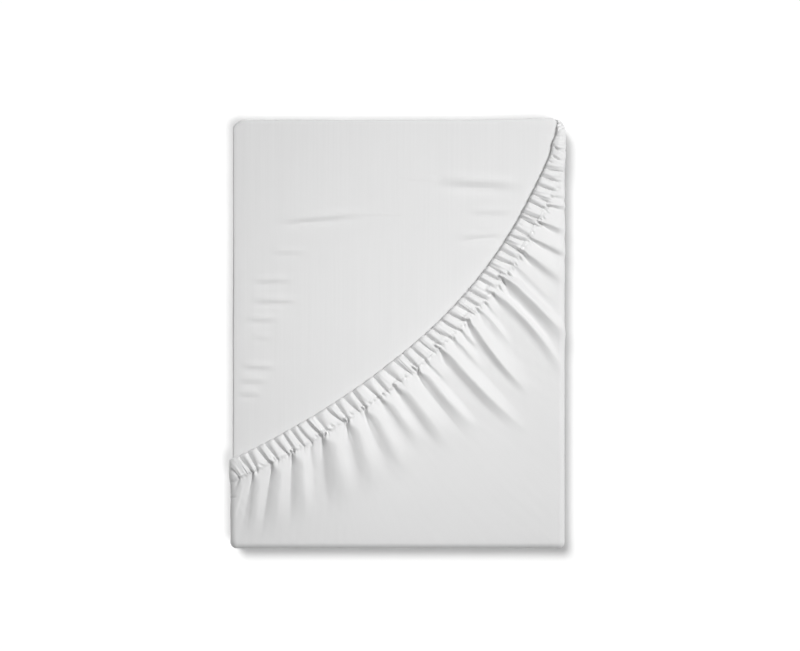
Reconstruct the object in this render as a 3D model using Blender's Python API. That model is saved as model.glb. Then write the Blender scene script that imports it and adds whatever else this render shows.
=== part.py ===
"""A fitted sheet, folded flat, with its elastic corner drawn over the front of the packet.

It is one piece of cloth, so it is one solid: a back-and-forth stack of eight layers, and the
sheet's corner, which wraps the lower right of the stack like a pocket and ends in a gathered
elastic hem.  The hem is part of its cloth.

Metres, +Z up.  The packet lies on its back panel, its length along +Y, and the origin is the
middle of its box, on the surface that it lies on.
"""

from collections import namedtuple
from math import cos, hypot, pi, sin

import bmesh
import bpy
from mathutils import Vector

MM = 0.001
NAME = "fitted_sheet"

# ---------------------------------------------------------------- driving sizes
POCKET_WIDTH = 0.2512
POCKET_LENGTH = 0.3242
POCKET_BOTTOM = -0.1614
LAYERS = 8
LAYER_THICK = 0.0023
LAYER_PITCH = 0.0031
SHEET = 0.0012
PLAY = 0.0006

STACK_HALF_WIDTH = 0.1238
STACK_BOTTOM = -0.1596
STACK_TOP = 0.1611
STACK_TOP_Z = (LAYERS - 1) * LAYER_PITCH + LAYER_THICK
TURN_STEPS = 4
CORNER_CUT = 0.0042
TOP_CORNER_CUT = 0.0076

EDGE_RADIUS = 0.0035
TOP_RIGHT_ROUND = 0.0045
FOOT_RADIUS = 0.0008
FOOT_LEVEL = 0.0015
FOOT_TUCK = 0.0020

HEM_WIDTH = 0.0152
PULLED = 0.3
PULLED_LEFT = -4.0
PULLED_TOP = 364.0
PULLED_RUN = 22.0
CASING_PULLED = 0.7
PUCKER_REACH = 0.0175
FOLDS_END = 0.095
NOSE_BULGE = 0.0005
NOSE_UNDER = 0.0003
NOSE_LIFT = 0.0001
SKIRT_ROWS = (23.0, 32.0, 47.0, 70.0)
EDGE_STEPS = 2
LEAST_STEP = 0.0015
FLAT_STEP = 0.0005
FOOT_EASE = 0.004
WALL_PRESS = 0.62
COTTON = (0.78, 0.78, 0.79, 1.0)

# ---------------------------------------------------------------- short tables, in millimetres
Layer = namedtuple("Layer", "left right top")
# How far each layer's edges lie back from the stack's outline, from the back panel up.
LAYER_SETBACK = (
    Layer(0.0, 0.0, 0.0),
    Layer(0.5, 0.3, 0.6),
    Layer(0.1, 0.6, 0.6),
    Layer(0.7, 0.2, 0.2),
    Layer(0.3, 0.5, 0.2),
    Layer(0.6, 0.2, 0.9),
    Layer(0.4, 0.6, 0.9),
    Layer(1.9, 1.9, 0.0),
)

# The hem's line over the front: a cubic curve from the left edge to the top of the right edge.
HemPoint = namedtuple("HemPoint", "x y")
HEM_LINE = (
    HemPoint(-124.5, -94.0),
    HemPoint(-6.8, -43.0),
    HemPoint(97.2, 51.4),
    HemPoint(120.5, 158.8),
)

# Runs of even gathers: where along the hem's seam each run ends, and how many gathers it holds.
Run = namedtuple("Run", "end gathers")
HEM_START = -27.0
HEM_RUNS = (
    Run(2.7, 3),
    Run(39.8, 5),
    Run(76.6, 5),
    Run(106.7, 4),
    Run(146.2, 4),
    Run(176.8, 4),
    Run(209.0, 4),
    Run(234.0, 3),
    Run(266.7, 5),
    Run(301.0, 5),
    Run(338.8, 5),
    Run(363.5, 4),
    Run(382.0, 2),
)

# The threads of the skirt, by where they leave the hem's seam: how far a gather leans along the
# hem between its folded edge and its seam, and the place where the thread turns straight down
# the packet's side.  The cloth is unrolled: past the front's flat, the sides are laid out level.
Thread = namedtuple("Thread", "hem lean x y")
THREADS = (
    Thread(-28.0, 0.0, -145.4, -122.0),
    Thread(-20.0, 1.0, -145.2, -126.0),
    Thread(-12.0, 2.5, -144.0, -130.0),
    Thread(-5.0, 4.5, -138.0, -135.0),
    Thread(0.0, 5.5, -130.0, -140.0),
    Thread(3.0, 5.5, -126.4, -146.0),
    Thread(6.0, 5.5, -126.4, -154.0),
    Thread(8.0, 5.5, -124.8, -160.6),
    Thread(10.4, 5.5, -114.0, -162.2),
    Thread(25.3, 5.5, -102.0, -162.2),
    Thread(42.0, 5.3, -79.0, -162.2),
    Thread(67.5, 5.0, -45.0, -162.2),
    Thread(87.8, 4.5, -6.0, -162.2),
    Thread(104.2, 4.2, 38.0, -162.2),
    Thread(118.5, 4.0, 70.0, -162.2),
    Thread(132.0, 3.6, 95.0, -162.2),
    Thread(147.0, 3.4, 118.0, -162.2),
    Thread(151.0, 3.3, 124.8, -160.6),
    Thread(155.0, 3.3, 126.4, -150.0),
    Thread(174.4, 3.5, 126.4, -108.0),
    Thread(203.0, 4.0, 126.4, -78.0),
    Thread(229.5, 4.0, 126.4, -36.0),
    Thread(252.8, 3.5, 126.4, 10.0),
    Thread(276.8, 2.2, 126.4, 56.0),
    Thread(305.0, 1.3, 126.4, 93.5),
    Thread(320.0, 1.1, 126.6, 110.5),
    Thread(335.0, 1.0, 128.6, 126.0),
    Thread(352.0, 1.0, 136.0, 144.8),
    Thread(364.5, 1.0, 138.2, 156.2),
    Thread(372.0, 0.5, 138.9, 164.6),
    Thread(382.0, 0.0, 139.9, 174.2),
)

# The casing's section, across the hem from its folded edge: height over the layer beneath and
# how much of a gather stands on it there.
Casing = namedtuple("Casing", "across height gather")
CASING = (
    Casing(0.0, 1.2, 0.4),
    Casing(1.1, 2.4, 1.1),
    Casing(5.5, 3.0, 1.8),
    Casing(12.8, 2.6, 1.6),
    Casing(15.2, 1.5, 0.7),
    Casing(17.5, 1.9, 1.5),
    Casing(22.0, 1.7, 1.1),
    Casing(29.0, 1.3, 0.5),
    Casing(39.0, 1.2, 0.0),
)

# A gather's section along the hem, as shares: steep up from its crease, then a broad back.
Gather = namedtuple("Gather", "within height")
GATHER = (
    Gather(0.0, 0.0),
    Gather(0.3, 1.0),
    Gather(0.68, 0.72),
)
GATHER_SLIP = 0.10
GATHER_UNEVEN = 0.18

# The skirt's folds: where each starts on the hem, how wide its steep side is, how high it
# stands, how far down the skirt it runs, and how far it leans along the hem by its end.
Fold = namedtuple("Fold", "hem steep height reach lean")
SKIRT_FOLDS = (
    Fold(11.0, 4.0, 1.0, 34, -1.0),
    Fold(25.8, 4.5, 1.3, 50, -2.0),
    Fold(42.0, 5.0, 1.4, 50, -1.0),
    Fold(68.0, 7.5, 2.8, 60, 0.0),
    Fold(88.0, 7.5, 2.6, 58, 1.0),
    Fold(104.5, 6.5, 2.0, 62, 1.0),
    Fold(119.0, 5.0, 1.1, 38, 0.0),
    Fold(132.5, 6.0, 2.0, 62, 0.0),
    Fold(152.0, 6.5, 2.4, 68, 1.0),
    Fold(161.5, 4.0, 1.0, 34, 0.0),
    Fold(174.8, 6.3, 2.6, 95, 1.0),
    Fold(187.5, 4.5, 1.3, 36, -1.0),
    Fold(203.5, 6.0, 2.5, 80, -3.0),
    Fold(214.3, 6.0, 1.6, 46, -1.0),
    Fold(230.0, 5.0, 2.2, 88, -2.0),
    Fold(243.0, 7.0, 3.0, 74, 0.0),
    Fold(254.5, 5.0, 1.2, 58, -1.0),
    Fold(266.5, 4.4, 1.8, 42, 0.0),
    Fold(277.3, 4.0, 1.6, 38, 1.0),
    Fold(290.5, 3.8, 1.2, 29, 0.0),
    Fold(305.5, 3.5, 1.0, 25, 0.0),
)

FOLD_WIDENS = 0.5
FOLD_BACK = 1.9
FOLD_RISE = 0.2

# Soft creases pressed into the front panel: middle, length, turn in degrees, width and height.
Crease = namedtuple("Crease", "x y length turn width height")
FRONT_CREASES = (
    Crease(-64.0, 84.5, 68.0, 5.0, 9.0, 0.55),
    Crease(-83.0, 59.5, 27.0, 0.0, 7.0, 0.40),
    Crease(-93.0, 40.0, 29.0, 2.0, 7.0, 0.50),
    Crease(-95.5, 23.5, 30.0, 0.0, 7.0, 0.50),
    Crease(-99.5, 9.5, 21.0, 0.0, 6.5, 0.40),
    Crease(-105.0, -25.0, 22.0, -3.0, 7.0, 0.45),
    Crease(-108.0, -36.5, 16.0, 0.0, 6.0, 0.40),
    Crease(-111.5, -46.0, 14.0, 0.0, 6.0, 0.40),
    Crease(73.5, 110.5, 58.0, -4.0, 11.0, 0.55),
    Crease(76.0, 92.0, 24.0, 0.0, 7.0, 0.45),
    Crease(64.0, 73.5, 28.0, 8.0, 7.5, 0.50),
)


# ---------------------------------------------------------------- helpers
def clear_scene():
    for thing in list(bpy.data.objects):
        bpy.data.objects.remove(thing, do_unlink=True)


def cotton():
    """White cotton sateen."""
    material = bpy.data.materials.new("cotton")
    material.use_nodes = True
    shader = material.node_tree.nodes["Principled BSDF"]
    shader.inputs["Base Color"].default_value = COTTON
    shader.inputs["Roughness"].default_value = 0.75
    shader.inputs["Metallic"].default_value = 0.0
    return material


def smooth(value):
    """0 below 0, 1 above 1, and a soft step between."""
    value = min(1.0, max(0.0, value))
    return value * value * (3.0 - 2.0 * value)


def read_table(rows, key, at, *names):
    """The named columns of a table at a place along its key column, read between rows."""
    at = min(max(at, getattr(rows[0], key)), getattr(rows[-1], key))
    for low, high in zip(rows, rows[1:]):
        first = getattr(low, key)
        last = getattr(high, key)
        if at <= last:
            share = (at - first) / (last - first)
            return [getattr(low, n) + share * (getattr(high, n) - getattr(low, n)) for n in names]
    raise ValueError(f"{at} is outside the table")


def skin(rings, closed):
    """Faces between neighbouring rings of vertices, each ring a list of the same length."""
    count = len(rings[0])
    last = count if closed else count - 1
    faces = []
    for one, two in zip(rings, rings[1:]):
        for k in range(last):
            step = (k + 1) % count
            faces.append((one[k], two[k], two[step], one[step]))
    return faces


def end_strip(ring, lead):
    """Faces across a ring's thickness, whose first points, as many as the lead, make its nose."""
    last = len(ring) - 1
    faces = [(*ring[: lead + 1], ring[last])] if lead else []
    for k in range((last - lead) // 2):
        near = ring[lead + k : lead + k + 2]
        faces.append((*near, ring[last - k - 1], ring[last - k]))
    return faces


def new_object(name, bm, collection, material):
    bmesh.ops.triangulate(bm, faces=bm.faces)
    bmesh.ops.recalc_face_normals(bm, faces=bm.faces)
    mesh = bpy.data.meshes.new(name)
    bm.to_mesh(mesh)
    bm.free()
    mesh.materials.append(material)
    thing = bpy.data.objects.new(name, mesh)
    collection.objects.link(thing)
    return thing


# ---------------------------------------------------------------- the stack of layers
PathPoint = namedtuple("PathPoint", "top setback z bulge normal_y normal_z")


def stack_path():
    """The stack's back-and-forth line, from the back panel up: even layers run to the top end.

    A point's bulge is how far a turn carries it out past the end of the layers.
    """
    radius = LAYER_PITCH / 2
    path = []
    for layer in range(LAYERS):
        up = 1.0 if layer % 2 == 0 else -1.0
        here = LAYER_SETBACK[layer]
        z = LAYER_THICK / 2 + layer * LAYER_PITCH
        for top in (up < 0, up > 0):
            path.append(PathPoint(top, here, z, 0.0, 0.0, up))
        if layer == LAYERS - 1:
            return path
        above = LAYER_SETBACK[layer + 1]
        for step in range(1, TURN_STEPS):
            share = step / TURN_STEPS
            turn = pi * share
            setback = Layer(*(a + share * (b - a) for a, b in zip(here, above)))
            height = z + radius * (1 - cos(turn))
            normal = (-up * sin(turn), up * cos(turn))
            path.append(PathPoint(up > 0, setback, height, radius * sin(turn), *normal))


def build_stack(collection, material):
    """Eight layers as one thick folded ribbon: its section is swept across the packet's width."""
    reach = (LAYER_PITCH + LAYER_THICK) / 2
    path = stack_path()
    bm = bmesh.new()
    rings = []
    for station in range(4):
        faces = {1: [], -1: []}
        for point in path:
            side = 1 if point.top else -1
            cut = TOP_CORNER_CUT if point.top else CORNER_CUT
            left = -STACK_HALF_WIDTH + point.setback.left * MM
            right = STACK_HALF_WIDTH - point.setback.right * MM
            x = (left, left + cut, right - cut, right)[station]
            end = STACK_TOP - point.setback.top * MM if point.top else STACK_BOTTOM
            rim_cut = (CORNER_CUT, 0.0, 0.0, cut)[station]
            y = end - side * (reach - point.bulge + rim_cut)
            for face in faces:
                off = face * LAYER_THICK / 2
                spot = (x, y + side * off * point.normal_y, point.z + off * point.normal_z)
                faces[face].append(bm.verts.new(spot))
        rings.append(faces[1] + faces[-1][::-1])
    for corners in skin(rings, closed=True):
        bm.faces.new(corners)
    for corners in end_strip(rings[0], 0) + end_strip(rings[-1], 0):
        bm.faces.new(corners)
    return new_object(NAME, bm, collection, material)


# ---------------------------------------------------------------- the front panel's creases
def build_creases(collection, material):
    """Long low lens shapes, half sunk in the top layer."""
    across_steps = 3
    along_steps = 5
    sunk = 0.0004
    bm = bmesh.new()
    for crease in FRONT_CREASES:
        angle = crease.turn * pi / 180
        along = Vector((cos(angle), sin(angle), 0.0))
        across = Vector((-sin(angle), cos(angle), 0.0))
        middle = Vector((crease.x * MM, crease.y * MM, STACK_TOP_Z))
        rings = []
        for i in range(1, along_steps):
            run = -1.0 + 2.0 * i / along_steps
            width = crease.width * MM / 2 * (1.0 - run * run) ** 0.5
            height = crease.height * MM * (1.0 - run * run)
            spot = middle + along * (run * crease.length * MM / 2)
            ring = []
            for k in range(across_steps + 1):
                turn = pi * k / across_steps
                ring.append(spot + across * (width * cos(turn)) + Vector((0, 0, height * sin(turn))))
            ring.append(spot - across * width * 0.8 - Vector((0, 0, sunk)))
            ring.append(spot + across * width * 0.8 - Vector((0, 0, sunk)))
            rings.append([bm.verts.new(point) for point in ring])
        for corners in skin(rings, closed=True):
            bm.faces.new(corners)
        bm.faces.new(rings[0])
        bm.faces.new(rings[-1])
    return new_object("front_creases", bm, collection, material)


# ---------------------------------------------------------------- the unrolled cloth
INNER_HALF_WIDTH = POCKET_WIDTH / 2 - SHEET
INNER_BOTTOM = POCKET_BOTTOM + SHEET
INNER_TOP = POCKET_BOTTOM + POCKET_LENGTH - SHEET
UNDER_Z = STACK_TOP_Z + PLAY
EDGE_ARC = EDGE_RADIUS * pi / 2
WALL_DROP = UNDER_Z - EDGE_RADIUS - FOOT_LEVEL - FOOT_RADIUS
FOOT_ARC = FOOT_RADIUS * pi / 2
FOOT = EDGE_ARC + WALL_DROP


def roll_down(beyond):
    """Outward step, drop and tilt of the cloth's underside, so far beyond the front's flat."""
    if beyond < EDGE_ARC:
        tilt = max(0.0, beyond) / EDGE_RADIUS
        return EDGE_RADIUS * sin(tilt), EDGE_RADIUS * (1 - cos(tilt)), tilt
    if beyond < FOOT:
        return EDGE_RADIUS, EDGE_RADIUS + beyond - EDGE_ARC, pi / 2
    drop = EDGE_RADIUS + WALL_DROP
    under = beyond - FOOT
    if under < FOOT_ARC:
        turn = under / FOOT_RADIUS
        outward = EDGE_RADIUS - FOOT_RADIUS * (1 - cos(turn))
        return outward, drop + FOOT_RADIUS * sin(turn), pi / 2 + turn
    return EDGE_RADIUS - FOOT_RADIUS - (under - FOOT_ARC), drop + FOOT_RADIUS, pi


def beyond_flat(x, y):
    """Nearest point of the front's flat, and how far and which way the place lies beyond it."""
    corner = TOP_RIGHT_ROUND if x > 0.0 and y > 0.0 else 0.0
    inset = EDGE_RADIUS + corner
    flat_x = min(max(x, -INNER_HALF_WIDTH + inset), INNER_HALF_WIDTH - inset)
    flat_y = min(max(y, INNER_BOTTOM + inset), INNER_TOP - inset)
    far = hypot(x - flat_x, y - flat_y)
    if far <= corner + 1e-9:
        return x, y, 0.0, 0.0, 0.0
    out_x = (x - flat_x) / far
    out_y = (y - flat_y) / far
    return flat_x + corner * out_x, flat_y + corner * out_y, far - corner, out_x, out_y


def wrap(x, y, height, further=0.0):
    """A point of the unrolled cloth, so high over its underside, placed round the packet."""
    flat_x, flat_y, far, out_x, out_y = beyond_flat(x, y)
    outward, drop, tilt = roll_down(far + further)
    outward += height * sin(tilt)
    z = UNDER_Z - drop + height * cos(tilt)
    return Vector((flat_x + out_x * outward, flat_y + out_y * outward, z))


# ---------------------------------------------------------------- the hem's line
def hem_curve(share):
    """Place and direction on the hem's cubic curve."""
    p = [Vector((point.x * MM, point.y * MM)) for point in HEM_LINE]
    rest = 1.0 - share
    place = p[0] * rest**3 + p[1] * 3 * rest**2 * share + p[2] * 3 * rest * share**2 + p[3] * share**3
    heading = (
        (p[1] - p[0]) * rest**2 + (p[2] - p[1]) * 2 * rest * share + (p[3] - p[2]) * share**2
    )
    return place, heading.normalized()


HEM_STEPS = 400
HEM_LENGTHS = [0.0]
for hem_step in range(1, HEM_STEPS + 1):
    stride = hem_curve(hem_step / HEM_STEPS)[0] - hem_curve((hem_step - 1) / HEM_STEPS)[0]
    HEM_LENGTHS.append(HEM_LENGTHS[-1] + stride.length)


def hem_point(along, across=0.0):
    """A place so many metres along the hem's folded edge, and so far in from it.

    The edge runs on straight past both ends of its curve.
    """
    if along <= 0.0:
        place, heading = hem_curve(0.0)
        place = place + heading * along
    elif along >= HEM_LENGTHS[-1]:
        place, heading = hem_curve(1.0)
        place = place + heading * (along - HEM_LENGTHS[-1])
    else:
        low = max(k for k in range(HEM_STEPS) if HEM_LENGTHS[k] <= along)
        share = (along - HEM_LENGTHS[low]) / (HEM_LENGTHS[low + 1] - HEM_LENGTHS[low])
        place, heading = hem_curve((low + share) / HEM_STEPS)
    return place + Vector((heading.y, -heading.x)) * across


# ---------------------------------------------------------------- gathers and folds
def gather_columns():
    """Sections of the pocket: place along the hem in mm, its row of the gather, its number."""
    columns = []
    number = 0
    start = HEM_START
    for run in HEM_RUNS:
        pitch = (run.end - start) / run.gathers
        for k in range(run.gathers):
            slip = GATHER_SLIP * sin(2.4 * number)
            for section in GATHER:
                columns.append((start + (k + section.within + slip) * pitch, section, number))
            number += 1
        start = run.end
    return columns


def end_ease(hem):
    """1 over the front, and less where the hem is pulled tight over the packet's edges."""
    eased = smooth((hem - PULLED_LEFT) / PULLED_RUN) * smooth((PULLED_TOP - hem) / PULLED_RUN)
    return PULLED + (1.0 - PULLED) * eased


def gather_height(section, number, hem):
    """A gather's height over its crease, no two alike."""
    uneven = 1.0 + GATHER_UNEVEN * sin(1.7 * number + 0.6) + GATHER_UNEVEN / 2 * sin(4.1 * number)
    return section.height * uneven * end_ease(hem)


def fold_height(hem, across):
    """The skirt's folds at a place so far along the hem and so far down from its edge, in mm."""
    total = 0.0
    for fold in SKIRT_FOLDS:
        run = (across - HEM_WIDTH / MM) / (fold.reach - HEM_WIDTH / MM)
        if not 0.0 < run < 1.0:
            continue
        offset = hem - fold.hem - fold.lean * run
        steep = fold.steep * (1.0 + FOLD_WIDENS * run)
        back = FOLD_BACK * steep
        if offset < steep / 2:
            section = smooth(offset / steep + 0.5)
        else:
            section = 1.0 - smooth((offset - steep / 2) / back)
        total += fold.height * section * smooth(run / FOLD_RISE + 0.25) * (1.0 - run**1.8)
    return total


# ---------------------------------------------------------------- the pocket
class ThreadPath:
    """A thread of the pocket on the unrolled cloth: hem edge, seam, turn, then straight down."""

    def __init__(self, hem):
        lean, x, y = read_table(THREADS, "hem", hem, "lean", "x", "y")
        self.edge = hem_point((hem - lean) * MM)
        self.seam = hem_point(hem * MM, HEM_WIDTH)
        self.turn = Vector((x * MM, y * MM))
        self.skirt = (self.turn - self.seam).length
        _, _, far, out_x, out_y = beyond_flat(*self.turn)
        self.down = Vector((out_x, out_y))
        self.turned = HEM_WIDTH + self.skirt
        self.whole = self.turned + max(0.0, FOOT - far)

    def spot(self, across):
        if across <= HEM_WIDTH:
            return self.edge.lerp(self.seam, across / HEM_WIDTH)
        if across <= self.turned:
            return self.seam.lerp(self.turn, (across - HEM_WIDTH) / self.skirt)
        return self.turn + self.down * (across - self.turned)

    def flat(self):
        """How far in from the hem's edge the front's flat ends."""
        across = self.turned
        while across > 0.0 and beyond_flat(*self.spot(across))[2] > 0.0:
            across -= FLAT_STEP
        return max(across, 0.0)


def outer_height(across, gather, hem, ease):
    """Height of the pocket's outer side over its underside, so far in from the hem's edge."""
    casing, share = read_table(CASING, "across", across / MM, "height", "gather")
    casing = SHEET if across >= CASING[-1].across * MM else max(SHEET, casing * MM * ease)
    return casing + (share * gather + fold_height(hem, across / MM)) * MM


def pocket_section(hem, section, number):
    """One ring round the cloth's section: down its outer side and back up its underside."""
    thread = ThreadPath(hem)
    gather = gather_height(section, number, hem)
    ease = CASING_PULLED + (1.0 - CASING_PULLED) * end_ease(hem)
    edge = max(thread.flat(), PUCKER_REACH + LEAST_STEP)
    bend = max(thread.turned, edge + LEAST_STEP)
    foot = max(thread.whole, bend + LEAST_STEP)
    shrink = min(1.0, thread.whole / foot)
    squeeze = min(1.0, (edge - PUCKER_REACH) / (FOLDS_END - PUCKER_REACH))

    rows = [row.across * MM for row in CASING if 0.0 < row.across * MM <= PUCKER_REACH]
    rows.extend(PUCKER_REACH + (row * MM - PUCKER_REACH) * squeeze for row in SKIRT_ROWS)
    rows.extend(edge + (bend - edge) * step / EDGE_STEPS for step in range(EDGE_STEPS + 1))

    def place(across, height, further=0.0):
        spot = thread.spot(across * shrink)
        far = beyond_flat(*spot)[2]
        tight = smooth((FOOT - far) / FOOT_EASE) * (1.0 - WALL_PRESS * smooth(far / EDGE_ARC))
        return wrap(*spot, min(height, SHEET) + max(0.0, height - SHEET) * tight, further)

    nose = -NOSE_BULGE * gather
    outer = [place(NOSE_UNDER, NOSE_LIFT), place(nose, SHEET)]
    inner = []
    for across in rows:
        height = outer_height(across, gather, hem, ease)
        outer.append(place(across, height))
        inner.append(place(across, 0.0 if across < PUCKER_REACH else height - SHEET))
    for further in (0.0, FOOT_ARC / 2, FOOT_ARC + FOOT_TUCK):
        outer.append(place(foot, SHEET, further))
        inner.append(place(foot, 0.0, further))
    return outer + inner[::-1]


def build_pocket(collection, material):
    """The corner pocket: a loft through one section for each column of the gathered hem."""
    bm = bmesh.new()
    rings = []
    for column in gather_columns():
        rings.append([bm.verts.new(point) for point in pocket_section(*column)])
    for corners in skin(rings, closed=True):
        bm.faces.new(corners)
    for corners in end_strip(rings[0], 2) + end_strip(rings[-1], 2):
        bm.faces.new(corners)
    return new_object("corner_pocket", bm, collection, material)


# ---------------------------------------------------------------- one piece of cloth
def join(base, other, label):
    union = base.modifiers.new(label, "BOOLEAN")
    union.operation = "UNION"
    union.solver = "EXACT"
    union.object = other
    other.hide_render = True
    other.display_type = "WIRE"


def rest_on_origin(thing):
    """Moves the mesh so that its box stands centred on the origin."""
    bpy.context.view_layer.update()
    evaluated = thing.evaluated_get(bpy.context.evaluated_depsgraph_get())
    mesh = bpy.data.meshes.new_from_object(evaluated)
    for axis in range(2):
        values = [vertex.co[axis] for vertex in mesh.vertices]
        shift = (min(values) + max(values)) / 2
        for vertex in mesh.vertices:
            vertex.co[axis] -= shift
    lowest = min(vertex.co.z for vertex in mesh.vertices)
    for vertex in mesh.vertices:
        vertex.co.z -= lowest
    thing.modifiers.clear()
    thing.data = mesh


def main():
    clear_scene()
    cloth = bpy.data.collections.new("fitted sheet")
    tools = bpy.data.collections.new("shapes joined to it")
    bpy.context.scene.collection.children.link(cloth)
    bpy.context.scene.collection.children.link(tools)
    material = cotton()
    sheet = build_stack(cloth, material)
    join(sheet, build_creases(tools, material), "front creases")
    join(sheet, build_pocket(tools, material), "corner pocket")
    rest_on_origin(sheet)
    sheet.data.shade_smooth()
    sheet.data.set_sharp_from_angle(angle=pi / 5)


main()
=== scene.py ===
"""The looks of a fitted sheet, folded flat, with its elastic corner drawn over the front.

Run as a script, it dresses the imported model: the sheet's folded body, the gathered corner that
wraps it like a pocket, the stitching of the elastic hem, and a pale studio round them.

Metres, +Z up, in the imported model's frame.  The short tables are in millimetres, from a middle
that lies MIDDLE away from the frame's origin.
"""

from collections import namedtuple
from math import pi, radians

import bpy
import numpy as np
from bpy.props import FloatProperty, FloatVectorProperty, IntProperty, PointerProperty
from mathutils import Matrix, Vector


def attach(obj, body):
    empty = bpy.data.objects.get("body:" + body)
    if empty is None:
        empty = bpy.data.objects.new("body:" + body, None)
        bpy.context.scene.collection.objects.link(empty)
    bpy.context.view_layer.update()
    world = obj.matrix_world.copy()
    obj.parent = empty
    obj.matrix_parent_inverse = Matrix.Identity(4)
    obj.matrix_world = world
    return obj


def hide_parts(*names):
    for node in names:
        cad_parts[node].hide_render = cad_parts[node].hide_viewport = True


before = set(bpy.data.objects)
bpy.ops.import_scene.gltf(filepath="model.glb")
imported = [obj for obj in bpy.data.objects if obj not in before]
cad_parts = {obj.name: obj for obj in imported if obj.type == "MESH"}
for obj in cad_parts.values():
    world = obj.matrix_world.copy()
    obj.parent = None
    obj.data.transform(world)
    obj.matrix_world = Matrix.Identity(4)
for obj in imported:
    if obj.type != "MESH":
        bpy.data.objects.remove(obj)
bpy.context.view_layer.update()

bl_info = {
    "name": "Folded Fitted Sheet",
    "version": (1, 0, 0),
    "blender": (4, 5, 0),
    "location": "3D View > Sidebar > Bedding",
    "description": "Dresses a folded fitted sheet: folded body, gathered corner, hem stitches",
    "category": "Object",
}

MM = 0.001
NODE = "fitted_sheet"
# Where the frame's origin lies, as the sizes and tables below measure it.
MIDDLE = (0.00024, 0.00050)

# ---------------------------------------------------------------- sizes of the packet, in metres
# The gathered corner, over all.
POCKET_WIDTH = 0.2512
POCKET_LENGTH = 0.3242
POCKET_BOTTOM = -0.1614
# Its cloth, with the play that it has over the folded body, and the way it bends round the packet.
SHEET = 0.0012
PLAY = 0.0006
EDGE_RADIUS = 0.0035
TOP_RIGHT_ROUND = 0.0080
FOOT_RADIUS = 0.0008
FOOT_LEVEL = 0.0013
# The folded body inside: its layers, the plies in each, and its outline.  Its corners are cut:
# so deep, over so much width, in a curve of this power, and by so much more on the right.
LAYERS = 8
PLIES = 6
LAYER_THICK = 0.0023
LAYER_PITCH = 0.0031
STACK_HALF_WIDTH = 0.1238
STACK_BOTTOM = -0.1596
STACK_TOP = 0.1615
STACK_TOP_Z = (LAYERS - 1) * LAYER_PITCH + LAYER_THICK
CORNER_CUT = 0.0042
CORNER_CUT_WIDTH = 0.0076
CORNER_BEND = 1.25
RIGHT_CORNER = 1.4
# The body's top end reaches a little further on the right: how far, from where, over what width.
TOP_RISE = 0.0011
TOP_RISE_FROM = 0.055
TOP_RISE_WIDTH = 0.06
# The hem's casing, and the end of the puckered band behind it: millimetres from the folded edge.
HEM_WIDTH = 15.2
BAND_END = 31.0

INNER_HALF_WIDTH = POCKET_WIDTH / 2 - SHEET
INNER_BOTTOM = POCKET_BOTTOM + SHEET
INNER_TOP = POCKET_BOTTOM + POCKET_LENGTH - SHEET
UNDER_Z = STACK_TOP_Z + PLAY
EDGE_ARC = EDGE_RADIUS * pi / 2
WALL_DROP = UNDER_Z - EDGE_RADIUS - FOOT_LEVEL - FOOT_RADIUS
FOOT_ARC = FOOT_RADIUS * pi / 2
FOOT = EDGE_ARC + WALL_DROP


# ---------------------------------------------------------------- short tables, in millimetres
def table(columns, *rows):
    """Rows of numbers whose columns have names."""
    row_type = namedtuple("Row", columns)
    return tuple(row_type(*row) for row in rows)


# How far each layer's edges lie back from the stack's outline, and how its edges waver.
LAYER_SETBACK = table(
    "left right top wave",
    (0.6, 0.0, 0.3, 0.1),
    (0.8, 0.3, 0.7, 0.9),
    (0.5, 0.6, 0.5, 2.1),
    (0.9, 0.2, 0.4, 3.3),
    (0.6, 0.5, 0.3, 4.2),
    (0.9, 0.2, 0.8, 5.6),
    (0.7, 0.6, 0.15, 0.7),
    (0.1, 1.2, 0.9, 2.6),
)

# The hem's line over the front: a cubic curve from the left edge to the top of the right edge.
HEM_LINE = table(
    "x y",
    (-124.5, -94.0),
    (-6.8, -43.0),
    (97.2, 51.4),
    (120.5, 158.8),
)

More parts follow.
